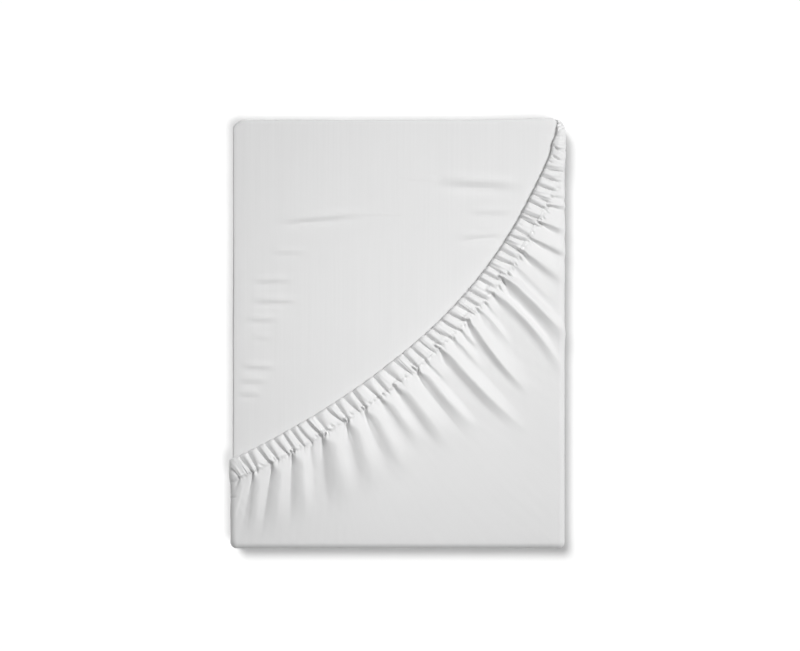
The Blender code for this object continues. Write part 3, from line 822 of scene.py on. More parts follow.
# A gather's section: how round its slope is, and how its back falls, by a share that goes early
# and a share that is pinched in at its end.  Where it softens, it leans a little.
SLOPE_ROUND = 1.9
EARLY_FALL = 0.55
EARLY_POWER = 1.4
PINCHED_FALL = 0.45
PINCHED_POWER = 6
SOFT_LEAN = 0.8


def gather_shape(phase, crest, softness):
    """A gather's section along the hem: a slope up from its crease, a broad back, a pinched end."""
    rising = 1.0 - (1.0 - np.clip(phase / crest, 0.0, 1.0)) ** SLOPE_ROUND
    past = np.clip((phase - crest) / (1.0 - crest), 0.0, 1.0)
    falling = 1.0 - EARLY_FALL * past**EARLY_POWER - PINCHED_FALL * past**PINCHED_POWER
    pillow = np.where(phase < crest, rising, falling)
    wave = 0.5 - 0.5 * np.cos(2.0 * pi * phase**SOFT_LEAN)
    return pillow * (1.0 - softness) + wave * softness


# The folds, in millimetres: how much room the last one has, how wide a slope is at the seam, and
# over what length from there it takes its own width.
LAST_FOLD_ROOM = 12.0
SEAM_SLOPE = 1.2
SLOPE_REACH = 13.0
# A fold's back is at least this many slopes wide; it is full at the seam and has a soft section
# from this share of its run on.
LEAST_BACK = 0.6
SOFT_FROM = 0.55
# How fast a fold builds up, how much of it stands at the seam, and where it begins to run out.
BUILD_RATE = 6.0
BUILT_AT_SEAM = 0.55
FADE_FROM = 0.42
# The crease at a fold's foot: its half width and how far from the seam it ends, over what length,
# in millimetres, and its depth as a share of the fold's height.
FOOT_CREASE = 0.6
FOOT_CREASE_END = 16.0
FOOT_CREASE_FADE = 12.0
FOOT_CREASE_DEPTH = 0.17


def fold_height(hem, across, strength):
    """The skirt's folds at places so far along the seam and so far from the hem's edge, in mm."""
    total = np.zeros(np.broadcast(hem, across).shape)
    nexts = [fold.hem for fold in SKIRT_FOLDS[1:]] + [SKIRT_FOLDS[-1].hem + LAST_FOLD_ROOM]
    below = across - HEM_WIDTH
    for fold, following in zip(SKIRT_FOLDS, nexts):
        run = below / (fold.reach - HEM_WIDTH)
        inside = (run > -0.05) & (run < 1.0)
        run = np.clip(run, 0.0, 1.0)
        steep = SEAM_SLOPE + (fold.steep - SEAM_SLOPE) * smooth((below + 1.0) / SLOPE_REACH)
        bend = fold.lean * run + 4.0 * fold.bow * run * (1.0 - run)
        foot = fold.hem + bend - steep * (0.5 + 0.5 * fold.edge)
        up = np.clip((hem - foot) / steep, 0.0, 1.0)
        sharp = up**2 if fold.edge > 0 else 1.0 - (1.0 - up) ** 2.5
        rise = smooth(up) * (1.0 - abs(fold.edge)) + sharp * abs(fold.edge)
        back = np.maximum(following - foot - steep, LEAST_BACK * steep)
        past = np.clip((hem - foot - steep) / back, 0.0, 1.0)
        full = 1.0 - 0.75 * past - 0.25 * past**2
        soft = (1.0 - past) ** 2 * (1.0 + 0.8 * past)
        fall = soft + (full - soft) * (1.0 - smooth(run / SOFT_FROM))
        section = np.where(hem < foot + steep, rise, fall)
        fade = smooth((run - FADE_FROM) / (1.0 - FADE_FROM))
        build = smooth(run * BUILD_RATE + BUILT_AT_SEAM) * (1.0 - fade)
        total += np.where(inside, fold.height * strength * section * build, 0.0)
        crease = np.exp(-(((hem - foot) / FOOT_CREASE) ** 2))
        crease = crease * smooth((HEM_WIDTH + FOOT_CREASE_END - across) / FOOT_CREASE_FADE)
        total -= np.where(inside, FOOT_CREASE_DEPTH * fold.height * strength * crease, 0.0)
    return total


# A pinch: its reach and its depth for a length and a depth of 1 in the table, how it tapers, the
# half width of its pit, and its rim: how high, how far out and how wide, in millimetres.
PINCH_REACH = 0.62
PINCH_DEPTH = 2.4
PINCH_TAPER = 1.15
PIT_WIDTH = 0.66
RIM_HEIGHT = 0.15
RIM_PLACE = 1.35
RIM_WIDTH = 0.7


def pucker_height(along, across):
    """Short pinches of the cloth: a narrow pit with a low rim, in mm."""
    total = np.zeros(np.broadcast(along, across).shape)
    for pucker in PUCKERS:
        turn = radians(pucker.turn)
        to_hem = along - pucker.hem
        to_across = across - pucker.across
        run = (to_hem * np.cos(turn) + to_across * np.sin(turn)) / (PINCH_REACH * pucker.length)
        side = to_across * np.cos(turn) - to_hem * np.sin(turn)
        near = smooth(PINCH_TAPER * (1.0 - np.abs(run)))
        rim = np.exp(-(((np.abs(side) - RIM_PLACE) / RIM_WIDTH) ** 2))
        pit = np.exp(-((side / PIT_WIDTH) ** 2)) - RIM_HEIGHT * rim
        total -= PINCH_DEPTH * pucker.depth * near * pit
    return total


def ripples(along, across):
    """The small relief of the cloth, in mm, at places along the hem and in from its edge.

    A faint swell lies everywhere.  Fine streaks cross the casing, more strongly along its right
    part; crumples follow the seam, and a faint mottling lies over the skirt.
    """
    swell = 0.05 * np.sin(0.83 * along + 0.21 * across) * np.sin(0.37 * across + 1.0)
    fine = smooth((19.0 - across) / 5.0) * half_wave(0.31 * along)
    streaks = np.sin(2.7 * along + 1.3 * np.sin(0.9 * along) - 0.4 * across)
    streaked = (0.20 + 0.20 * smooth((along - 150.0) / 60.0)) * fine * streaks
    crumple = np.sin(1.9 * along + 1.1 * np.sin(0.7 * along)) * np.sin(0.9 * across + 0.5 * along)
    crumpled = 0.20 * crumple * np.exp(-(((across - 15.6) / 2.2) ** 2))
    mottle = np.sin(0.50 * along + 0.25 * across)
    mottle = mottle * np.sin(0.33 * across - 0.2 * along + 1.2 * np.sin(0.11 * along))
    return swell + streaked + crumpled + 0.03 * mottle * smooth((across - 22.0) / 15.0)


# The hem's folded edge, from its underside round to its crown: how far in from the edge, in
# millimetres, and how high, as a share of the crown's height.
HEM_EDGE = table(
    "inward share",
    (0.80, 0.02),
    (0.18, 0.10),
    (0.00, 0.30),
    (0.28, 0.58),
    (0.70, 0.85),
)

# Where the rows of the puckered band lie, from the crown of the folded edge to the band's end:
# millimetres in from the edge, closest together at the seam.
BAND_STEPS = (
    1.2, 1.9, 3.0, 4.6, 6.4, 8.2, 9.8, 11.0, 12.0, 12.7, 13.3, 13.9, 14.5, 15.1, 15.7, 16.3, 16.9,
    17.6, 18.5, 19.8, 21.4, 23.4, 25.6, 28.2, BAND_END)
# Where the rows of the cloth turned in under the casing lie, and how high, in millimetres.
TURNED_IN = (15.0, 11.0, 7.0, 3.6, 1.8)
TURNED_IN_HEIGHT = 0.20
# The height of the cloth's outer side over its underside where nothing lifts it, in millimetres.
THIN = 1.2
# How much the casing's edge lifts in one stretch, in millimetres, and how much wider the turn of
# its fold is in the other, as a share.
EDGE_LIFT = 1.6
EDGE_WIDER = 0.10
# The level of a gather's section at which it neither rises nor sinks, and the one at which it
# neither bulges the hem's edge nor draws it in.
GATHER_LEVEL = 0.35
BULGE_LEVEL = 0.4
# The casing's height where it has no slack, as a share.
CASING_LEAST = 0.55
# How wide a gather's slope is at the seam, in millimetres: this sum less its width at the edge,
# between two limits.
TIP_SUM = 4.0
TIP_LEAST = 0.9
TIP_MOST = 1.6
# Where a gather's crest lies, as a share of its width: so many slopes in, between two limits.
CREST_REACH = 1.55
CREST_FIRST = 0.12
CREST_LAST = 0.72
# In millimetres: the length behind the seam over which the gathers soften, and how far in from
# the hem's edge its lift ends, over what length.
SOFTENING = 6.0
LIFT_END = 9.0
LIFT_FADE = 6.0
# The groove of the stitches: its depth in a crease, how much less that is on a crest, and its half
# width, in millimetres.
GROOVE_DEPTH = 0.20
GROOVE_EASE = 0.15
GROOVE_WIDTH = 0.8
# What the packet's edge takes from the relief, as a share, and the length over which the rest
# ends at the foot, in metres.
OVER_EDGE_LOSS = 0.62
RELIEF_END = 0.004
# Rows down over the packet's rounded edge and down its wall, and the room they keep, in
# millimetres.
EDGE_ROWS = 7
WALL_ROWS = 5
ROW_ROOM = 1.5
# How much of the skirt's row spacing is even; the rest widens away from the band.
EVEN_SPACING = 0.35
# How far the cloth goes on under the packet past its foot, in metres.
TUCKED = 0.001


class CornerPocket:
    """The gathered corner: its columns, and the height of its outer side anywhere on them."""

    def __init__(self, pocket):
        self.pocket = pocket
        self.hem, edge, self.phase, self.number = gather_columns()
        self.threads = Threads(self.hem, edge)
        self.casing_ease = CASING_LEAST + (1.0 - CASING_LEAST) * end_ease(self.hem)
        self.edge_lift = inside_stretch(self.hem, LIFTED, EDGE_LIFT)
        depth = column(GATHERS, "depth")
        self.floor = 1.0 - depth[self.number] * (1.0 - self.phase) - depth[self.number + 1] * self.phase
        self.wedge = column(GATHERS, "wedge")[self.number]
        self.tip = np.clip(TIP_SUM - self.wedge, TIP_LEAST, TIP_MOST)
        self.edge_width = np.diff(column(GATHERS, "edge"))[self.number]
        self.seam_width = np.diff(column(GATHERS, "seam"))[self.number]

    def gather(self, across):
        """A gather's section so far from the hem's edge: 0 in a full crease, 1 on a crest."""
        in_band = band_share(across)
        slope = self.wedge * (1.0 - in_band) + self.tip * in_band
        width = self.edge_width * (1.0 - in_band) + self.seam_width * in_band
        crest = np.clip(CREST_REACH * slope / width, CREST_FIRST, CREST_LAST)
        shape = gather_shape(self.phase, crest, smooth((across - HEM_WIDTH) / SOFTENING))
        return self.floor + (1.0 - self.floor) * shape

    def height(self, across):
        """Millimetres over the cloth's underside, for rows of distances from the hem's edge."""
        casing = read_table(CASING, "across", across, "height")
        eased = np.maximum(casing * self.casing_ease, THIN)
        casing = np.where(across < CASING[-1].across, eased, THIN)
        casing = casing + self.edge_lift * smooth((LIFT_END - across) / LIFT_FADE)
        share = read_table(CASING, "across", across, "gather") * self.pocket.gather_strength
        gather = self.gather(across)
        gathers = share * (gather - GATHER_LEVEL)
        groove = np.exp(-(((across - HEM_WIDTH) / GROOVE_WIDTH) ** 2))
        stitched = (GROOVE_DEPTH - GROOVE_EASE * gather) * groove
        along = self.threads.along(across)
        measured = across + (seam_width(along) - HEM_WIDTH) * np.clip(across / HEM_WIDTH, 0.0, 1.0)
        pinched = pucker_height(along, measured) * self.pocket.pucker_strength
        folds = fold_height(self.hem, across, self.pocket.fold_strength)
        return casing + gathers + folds - stitched + pinched + ripples(along, across)

    def place(self, across, height, further=0.0):
        """Points so far in from the hem's edge and so many millimetres over the underside."""
        spot = self.threads.spot(across)
        far = beyond_flat(spot[..., 0], spot[..., 1])[2]
        tight = smooth((FOOT - far) / RELIEF_END) * (1.0 - OVER_EDGE_LOSS * smooth(far / EDGE_ARC))
        level = np.minimum(height, THIN) + np.maximum(0.0, height - THIN) * tight
        return wrap(spot[..., 0], spot[..., 1], level * MM, further)

    def rows(self):
        """Rows of points from the turned-in edge, round the folded edge, to under the packet."""
        pocket = self.pocket
        one = np.ones_like(self.hem)
        rows = []
        measured = []
        under = TURNED_IN_HEIGHT
        for across in TURNED_IN:
            rows.append(self.place(across * one, under * one))
            measured.append(-across * one)
        crown = self.height(BAND_STEPS[0] * one)
        bulge = pocket.edge_bulge / MM * (self.gather(BAND_STEPS[0] * one) - BULGE_LEVEL)
        wider = 1.0 + inside_stretch(self.hem, ROUNDED, EDGE_WIDER)
        for step in HEM_EDGE:
            across = step.inward * wider - bulge * (1.0 - step.inward / BAND_STEPS[0])
            rows.append(self.place(across, under + (crown - under) * step.share))
            measured.append((2.0 * step.share - 1.0) * one)
        edge = np.maximum(self.threads.flat, BAND_END + ROW_ROOM)
        bend = np.maximum(self.threads.turned, edge + ROW_ROOM)
        foot = np.maximum(self.threads.whole, bend + ROW_ROOM)
        # Where the cloth is too short for that much room, its rows close up.
        shrink = np.minimum(1.0, self.threads.whole / foot)
        steps = [across * one for across in BAND_STEPS]
        for k in range(1, pocket.skirt_rows + 1):
            part = k / pocket.skirt_rows
            spaced = EVEN_SPACING * part + (1.0 - EVEN_SPACING) * part**2
            steps.append(BAND_END + (edge - BAND_END) * spaced)
        steps.extend(edge + (bend - edge) * k / EDGE_ROWS for k in range(1, EDGE_ROWS + 1))
        steps.extend(bend + (foot - bend) * k / WALL_ROWS for k in range(1, WALL_ROWS + 1))
        for across in steps:
            rows.append(self.place(across * shrink, self.height(across)))
            measured.append(across * shrink)
        for further in (FOOT_ARC / 2, FOOT_ARC, FOOT_ARC + TUCKED):
            rows.append(self.place(foot * shrink, THIN * one, further))
            measured.append(foot * shrink + further / MM)
        return np.stack(rows), np.stack(measured)

    def fine_rows(self):
        """How many rows keep every column: the turned-in edge, the casing and the puckers."""
        return len(TURNED_IN) + len(HEM_EDGE) + len(BAND_STEPS)


class GrowingCloth:
    """A mesh that grows bit by bit: points, their places on the flat cloth, and faces."""

    def __init__(self):
        self.points, self.flat, self.faces = [], [], []
        self.count = 0

    def add(self, points, flat):
        """Adds a grid or a row of points, and gives their numbers."""
        numbers = self.count + np.arange(points[..., 0].size).reshape(points.shape[:-1])
        self.points.append(points.reshape(-1, 3))
        self.flat.append(flat.reshape(-1, 2))
        self.count += numbers.size
        return numbers.tolist()


def every_other(indices):
    """Every second index, and the last."""
    kept = list(indices[::2])
    if kept[-1] != indices[-1]:
        kept.append(indices[-1])
    return kept


def joining_faces(fine, kept, after):
    """Faces between a row of vertices and a coarser row that follows only the kept ones."""
    place = {index: k for k, index in enumerate(fine)}
    faces = []
    for k in range(len(kept) - 1):
        between_two = fine[place[kept[k]]:place[kept[k + 1]] + 1]
        faces.append([*between_two, after[k + 1], after[k]])
    return faces


# How the rings of the back panel are spaced, a little wider apart at its edge.
RING_SPACING = 0.9
# The panel's free edge: how far it lies in from the packet's left side and its top end, the two
# points of its corner, and how far below the corner its left side begins, in metres.
LOOSE_LEFT = 0.0008
LOOSE_TOP = 0.0012
LOOSE_CORNER = ((0.0034, 0.0009), (0.0007, 0.0036))
LOOSE_DROP = 0.003
# It leaves the walls in a curve of this power.  Its two sides have so many steps.
LOOSE_BEND = 6
LOOSE_TOP_STEPS = 29
LOOSE_LEFT_STEPS = 33


def loose_edge(start, finish, level):
    """The back panel's free edge, along the packet's top end and down its left side."""
    left = -STACK_HALF_WIDTH + LOOSE_LEFT
    top = STACK_TOP - LOOSE_TOP
    points = []
    for k in range(1, LOOSE_TOP_STEPS):
        share = k / LOOSE_TOP_STEPS
        x = start[0] + (left + CORNER_CUT_WIDTH - start[0]) * share
        points.append((x, top + (start[1] - top) * (1.0 - share) ** LOOSE_BEND, level))
    points.extend((left + in_x, top - in_y, level) for in_x, in_y in LOOSE_CORNER)
    for k in range(LOOSE_LEFT_STEPS):
        share = k / LOOSE_LEFT_STEPS
        y = (top - CORNER_CUT - LOOSE_DROP) * (1.0 - share) + finish[1] * share
        points.append((left + (finish[0] - left) * share**LOOSE_BEND, y, level))
    return np.array(points) - (*MIDDLE, 0.0)


def back_rings(outline, rings):
    """Rings of the back panel, from an outline under the packet in to its middle."""
    shares = 1.0 - (np.arange(1, rings + 1) / rings) ** RING_SPACING
    found = []
    for share in shares[:-1]:
        flat = outline[:, :2] * share
        lift = np.abs(pressed(flat[:, 0], flat[:, 1], BACK_CREASES))
        found.append(np.column_stack([flat, outline[:, 2] + lift]))
    return found, np.array([0.0, 0.0, float(outline[:, 2].mean())])


def corner_pocket(pocket):
    """The gathered corner: points, faces, and their places on the cloth.

    The turned-in edge, the casing and the band behind it keep every column, the skirt every
    other one, and the back panel every second one of those.
    """
    corner = CornerPocket(pocket)
    grid, measured = corner.rows()
    flat = np.stack([np.broadcast_to(corner.hem, measured.shape), measured], -1) * MM
    columns = grid.shape[1]
    fine_rows = corner.fine_rows()
    cloth = GrowingCloth()
    fine = cloth.add(grid[:fine_rows], flat[:fine_rows])
    cloth.faces.extend(grid_faces(fine_rows, columns).tolist())

    thinned = every_other(list(range(columns)))
    skirt = cloth.add(grid[fine_rows:][:, thinned], flat[fine_rows:][:, thinned])
    cloth.faces.extend(joining_faces(fine[-1], [fine[-1][k] for k in thinned], skirt[0]))
    cloth.faces.extend((grid_faces(len(skirt), len(thinned)) + skirt[0][0]).tolist())

    picked = every_other(list(range(len(thinned))))
    level = float(grid[-1, :, 2].mean())
    loose = loose_edge(grid[-1, -1] + (*MIDDLE, 0.0), grid[-1, 0] + (*MIDDLE, 0.0), level)
    before = [skirt[-1][k] for k in picked] + cloth.add(loose, loose[:, :2])
    # Between the picked threads the first ring also meets those that it leaves out.
    skipped = [skirt[-1][low + 1:high] for low, high in zip(picked[:-1], picked[1:])]
    skipped += [[]] * (len(before) - len(skipped))
    outline = np.concatenate([grid[-1][thinned][picked], loose])
    outline[:, 2] = level
    rings, middle = back_rings(outline, pocket.back_rings)
    for ring in rings:
        inner = cloth.add(ring, ring[:, :2])
        for k in range(len(inner)):
            after = (k + 1) % len(inner)
            cloth.faces.append([before[k], *skipped[k], before[after], inner[after], inner[k]])
        before = inner
        skipped = [[]] * len(inner)
    centre = cloth.add(middle, middle[:2])
    for k in range(len(before)):
        cloth.faces.append([before[k], before[(k + 1) % len(before)], centre])
    outward = [face[::-1] for face in cloth.faces]
    return np.concatenate(cloth.points), outward, np.concatenate(cloth.flat)


# ---------------------------------------------------------------- the hem's stitches
# How far the stitches lie from the seam towards the hem's edge and how high over the cloth, in
# millimetres, and how far they keep from the hem's two ends, in metres.
STITCH_OUT = 0.15
STITCH_OVER = 0.02
STITCH_END = 0.012
# One stitch: sides and cuts of its tube, how thin it gets at its ends, how far these dip, and how
# wide a side is on the cloth, in metres.
TUBE_SIDES = 6
TUBE_CUTS = 5
END_THIN = 0.12
END_DIP = 0.00016
SIDE_WIDTH = 0.0002


def hem_stitches(pocket, stitches):
    """Short stitches of thread along the casing's seam, as one mesh of small tubes."""
    corner = CornerPocket(pocket)
    seam = np.full_like(corner.hem, HEM_WIDTH - STITCH_OUT)
    line = corner.place(seam, corner.height(seam) + STITCH_OVER)
    lengths = np.r_[0.0, np.cumsum(np.linalg.norm(np.diff(line, axis=0), axis=1))]
    sides, cuts = TUBE_SIDES, TUBE_CUTS
    points, faces, cloth = [], [], []
    step = stitches.length + stitches.gap
    start = STITCH_END
    while start + stitches.length < lengths[-1] - STITCH_END:
        at = np.linspace(start, start + stitches.length, cuts)
        spine = np.stack([np.interp(at, lengths, line[:, k]) for k in range(3)], -1)
        ahead = np.gradient(spine, axis=0)
        ahead /= np.linalg.norm(ahead, axis=1)[:, None]
        across = np.cross(ahead, (0.0, 0.0, 1.0))
        across /= np.linalg.norm(across, axis=1)[:, None]
        up = np.cross(across, ahead)
        share = np.linspace(-1.0, 1.0, cuts)
        thick = stitches.thread / 2 * np.sqrt(np.maximum(END_THIN, 1.0 - share**4))
        spine = spine - up * (END_DIP * share**2)[:, None]
        first = len(points)
        for k in range(cuts):
            for side in range(sides):
                turn = 2.0 * pi * side / sides
                around = across[k] * np.cos(turn) + up[k] * np.sin(turn)
                points.append(spine[k] + around * thick[k])
                cloth.append((at[k], side * SIDE_WIDTH))
        for k in range(cuts - 1):
            for side in range(sides):
                low = first + k * sides
                after = (side + 1) % sides
                faces.append([low + side, low + after, low + sides + after, low + sides + side])
        faces.append([first + side for side in range(sides)][::-1])
        faces.append([first + (cuts - 1) * sides + side for side in range(sides)])
        start += step
    return np.array(points), faces, np.array(cloth)


# ---------------------------------------------------------------- finishes
# How strongly the threads that run across show beside the long ones.
CROSS_THREADS = 0.35
# How close the streaks are, across and along the long threads, and how close the patches of tone.
STREAK_STRETCH = (620.0, 9.0, 1.0)
PATCH_SCALE = 22.0
NOISE_DETAIL = 3.0
STREAK_ROUGHNESS = 0.6
# How high the streaks stand over the weave, and the depth of the whole relief in metres.
STREAK_RELIEF = 3.0
RELIEF_DEPTH = 0.00004
# How far the roughness varies either way.
ROUGHNESS_SPREAD = 0.06
SHEEN_ROUGHNESS = 0.45
PAPER_SHINE = 0.1


def fill(node, values):
    """Sets a node's inputs, by name or number."""
    for name, value in values.items():
        node.inputs[name].default_value = value


def node_at(tree, kind, x, y, inputs=None, **values):
    """A new node at a place of the tree, with its settings and inputs."""
    node = tree.nodes.new(kind)
    node.location = (x, y)
    for name, value in values.items():
        setattr(node, name, value)
    fill(node, inputs or {})
    return node


def math_at(tree, x, y, operation, *values):
    """A maths node at a place of the tree, fed by sockets or numbers; gives its output."""
    node = node_at(tree, "ShaderNodeMath", x, y, operation=operation)
    for socket, value in zip(node.inputs, values):
        if isinstance(value, float):
            socket.default_value = value
        else:
            tree.links.new(value, socket)
    return node.outputs[0]


def new_finish(name):
    """A new material, with its node tree and its surface shader."""
    material = bpy.data.materials.new(name)
    material.use_nodes = True
    return material, material.node_tree, material.node_tree.nodes["Principled BSDF"]


def weave_group():
    """Sateen weave: fine threads both ways, long streaks, and soft patches of tone."""
    name = "Sateen Weave"
    if name in bpy.data.node_groups:
        return bpy.data.node_groups[name]
    group = bpy.data.node_groups.new(name, "ShaderNodeTree")
    face = group.interface
    for label, default in (("Threads per Metre", 2600.0), ("Streak", 0.5), ("Patches", 0.5)):
        face.new_socket(label, in_out="INPUT", socket_type="NodeSocketFloat").default_value = default
    for label in ("Tone", "Height", "Roughness Mask"):
        face.new_socket(label, in_out="OUTPUT", socket_type="NodeSocketFloat")
    enter = node_at(group, "NodeGroupInput", -1100, 0)
    leave = node_at(group, "NodeGroupOutput", 700, 0)
    link = group.links.new
    cloth = node_at(group, "ShaderNodeUVMap", -1100, 300, uv_map="cloth")

    threads = node_at(group, "ShaderNodeVectorMath", -850, 300, operation="SCALE")
    link(cloth.outputs[0], threads.inputs[0])
    link(enter.outputs["Threads per Metre"], threads.inputs["Scale"])
    split = node_at(group, "ShaderNodeSeparateXYZ", -650, 300)
    link(threads.outputs[0], split.inputs[0])
    waves = [math_at(group, -450, spot, "SINE", split.outputs[axis])
             for axis, spot in (("X", 420), ("Y", 240))]
    weave = math_at(group, -250, 330, "MULTIPLY_ADD", waves[1], CROSS_THREADS, waves[0])

    stretch = node_at(group, "ShaderNodeMapping", -850, -60, {"Scale": STREAK_STRETCH})
    link(cloth.outputs[0], stretch.inputs["Vector"])
    streaks = node_at(
        group, "ShaderNodeTexNoise", -650, -60,
        {"Scale": 1.0, "Detail": NOISE_DETAIL, "Roughness": STREAK_ROUGHNESS})
    link(stretch.outputs[0], streaks.inputs["Vector"])
    patches = node_at(
        group, "ShaderNodeTexNoise", -650, -320, {"Scale": PATCH_SCALE, "Detail": NOISE_DETAIL})
    link(cloth.outputs[0], patches.inputs["Vector"])

    centred = []
    for source, socket, spot in ((streaks, "Streak", -60), (patches, "Patches", -320)):
        level = math_at(group, -430, spot, "SUBTRACT", source.outputs["Fac"], 0.5)
        centred.append(math_at(group, -250, spot, "MULTIPLY", level, enter.outputs[socket]))
    both = math_at(group, -60, -160, "ADD", *centred)
    link(math_at(group, 140, -160, "ADD", both, 1.0), leave.inputs["Tone"])
    raised = math_at(group, 140, 200, "MULTIPLY_ADD", centred[0], STREAK_RELIEF, weave)
    link(raised, leave.inputs["Height"])
    link(patches.outputs["Fac"], leave.inputs["Roughness Mask"])
    return group


def cotton_sateen(cotton, name="cotton_sateen", streak=None):
    """White cotton sateen: soft low sheen, faint streaks along its threads, fine weave."""
    material, tree, shader = new_finish(name)
    shader.location = (600, 0)
    fill(shader, {
        "Metallic": 0.0,
        "Specular IOR Level": cotton.shine,
        "Sheen Weight": cotton.sheen,
        "Sheen Roughness": SHEEN_ROUGHNESS,
    })
    link = tree.links.new
    weave = node_at(tree, "ShaderNodeGroup", -400, 0, node_tree=weave_group())
    fill(weave, {
        "Threads per Metre": 2.0 * pi / cotton.thread_pitch,
        "Streak": cotton.streak if streak is None else streak,
        "Patches": cotton.patches,
    })
    paint = node_at(tree, "ShaderNodeVectorMath", 100, 200, {0: cotton.colour}, operation="SCALE")
    link(weave.outputs["Tone"], paint.inputs["Scale"])
    link(paint.outputs[0], shader.inputs["Base Color"])
    rough = node_at(tree, "ShaderNodeMapRange", 100, -20, {
        "To Min": cotton.roughness - ROUGHNESS_SPREAD,
        "To Max": cotton.roughness + ROUGHNESS_SPREAD,
    })
    link(weave.outputs["Roughness Mask"], rough.inputs["Value"])
    link(rough.outputs[0], shader.inputs["Roughness"])
    bump = node_at(
        tree, "ShaderNodeBump", 300, -240, {"Strength": cotton.weave_bump, "Distance": RELIEF_DEPTH})
    link(weave.outputs["Height"], bump.inputs["Height"])
    link(bump.outputs[0], shader.inputs["Normal"])
    return material


def plain_paper(name, colour, roughness):
    """The studio's plain floor."""
    material, _, shader = new_finish(name)
    fill(shader, {
        "Roughness": roughness,
        "Specular IOR Level": PAPER_SHINE,
        "Base Color": (*colour, 1.0),
    })
    return material


# ---------------------------------------------------------------- sizes and colours to change
class PacketSettings(bpy.types.PropertyGroup):
    """The folded body's sizes."""

    ply_thickness: FloatProperty(
        name="Ply thickness", description="Thickness of one ply of the cloth",
        default=0.00030, min=0.0001, max=0.0006, unit="LENGTH")
    ply_pitch: FloatProperty(
        name="Ply pitch", description="Height that each ply adds to a layer",
        default=0.00040, min=0.0002, max=0.0008, unit="LENGTH")
    body_lift: FloatProperty(
        name="Body lift", description="Height of the folded body over the ground",
        default=0.00125, min=0.0, max=0.004, unit="LENGTH")
    edge_press: FloatProperty(
        name="Edge press", description="How far the front panel rolls down at its edges",
        default=0.0006, min=0.0, max=0.003, unit="LENGTH")
    edge_uneven: FloatProperty(
        name="Uneven plies", description="How far some folded edges lie back",
        default=0.0007, min=0.0, max=0.003, unit="LENGTH")
    edge_waver: FloatProperty(
        name="Edge waver", description="How far the edges waver along their length",
        default=0.00014, min=0.0, max=0.001, unit="LENGTH")
    panel_rows: IntProperty(
        name="Panel rows", description="Rows of the front panel's grid", default=160, min=8, max=400)
    panel_columns: IntProperty(
        name="Panel columns", description="Columns of the front panel's grid",
        default=124, min=8, max=400)


class PocketSettings(bpy.types.PropertyGroup):
    """The gathered corner's sizes and the strength of its relief."""

    ply_thickness: FloatProperty(
        name="Cloth thickness", description="Thickness of the cloth of the gathered corner",
        default=0.00032, min=0.0001, max=0.001, unit="LENGTH")
    gather_strength: FloatProperty(
        name="Gathers", description="How high the gathers stand", default=1.4, min=0.0, max=2.0)
    fold_strength: FloatProperty(
        name="Folds", description="How high the skirt's folds stand", default=1.35, min=0.0, max=2.0)
    pucker_strength: FloatProperty(
        name="Puckers", description="How deep the seam's puckers are", default=1.35, min=0.0, max=2.0)
    edge_bulge: FloatProperty(
        name="Edge bulge", description="How far a gather pushes the hem's folded edge out",
        default=0.0005, min=0.0, max=0.002, unit="LENGTH")
    skirt_rows: IntProperty(
        name="Skirt rows", description="Rows of the skirt's grid", default=27, min=8, max=200)
    back_rings: IntProperty(
        name="Back rings", description="Rings of the back panel", default=20, min=3, max=60)


class StitchSettings(bpy.types.PropertyGroup):
    """The sizes of a stitch."""

    length: FloatProperty(
        name="Stitch", description="Length of one stitch", default=0.0024, min=0.001, max=0.006,
        unit="LENGTH")
    gap: FloatProperty(
        name="Gap", description="Gap between stitches", default=0.0007, min=0.0, max=0.004,
        unit="LENGTH")
    thread: FloatProperty(
        name="Thread", description="Diameter of the sewing thread", default=0.00023, min=0.0001,
        max=0.001, unit="LENGTH")


class CottonSettings(bpy.types.PropertyGroup):
    """The looks of the cloth."""

    colour: FloatVectorProperty(
        name="Cotton", description="Colour of the cloth", subtype="COLOR", size=3,
        default=(0.78, 0.78, 0.78), min=0.0, max=1.0)
    roughness: FloatProperty(
        name="Roughness", description="Roughness of the sateen", default=0.55, min=0.1, max=1.0)
    shine: FloatProperty(
        name="Shine", description="Strength of its soft highlight", default=0.3, min=0.0, max=1.0)
    sheen: FloatProperty(
        name="Sheen", description="Glow of its fibres at a low angle", default=0.2, min=0.0, max=1.0)
    streak: FloatProperty(
        name="Streaks", description="Strength of the streaks along the threads",
        default=0.06, min=0.0, max=0.5)
    patches: FloatProperty(
        name="Patches", description="Strength of soft patches of tone",
        default=0.03, min=0.0, max=0.5)
    thread_pitch: FloatProperty(
        name="Thread pitch", description="Distance from thread to thread", default=0.00036,
        min=0.0001, max=0.002, unit="LENGTH")
    weave_bump: FloatProperty(
        name="Weave relief", description="Strength of the weave's relief", default=0.35, min=0.0,
        max=1.0)


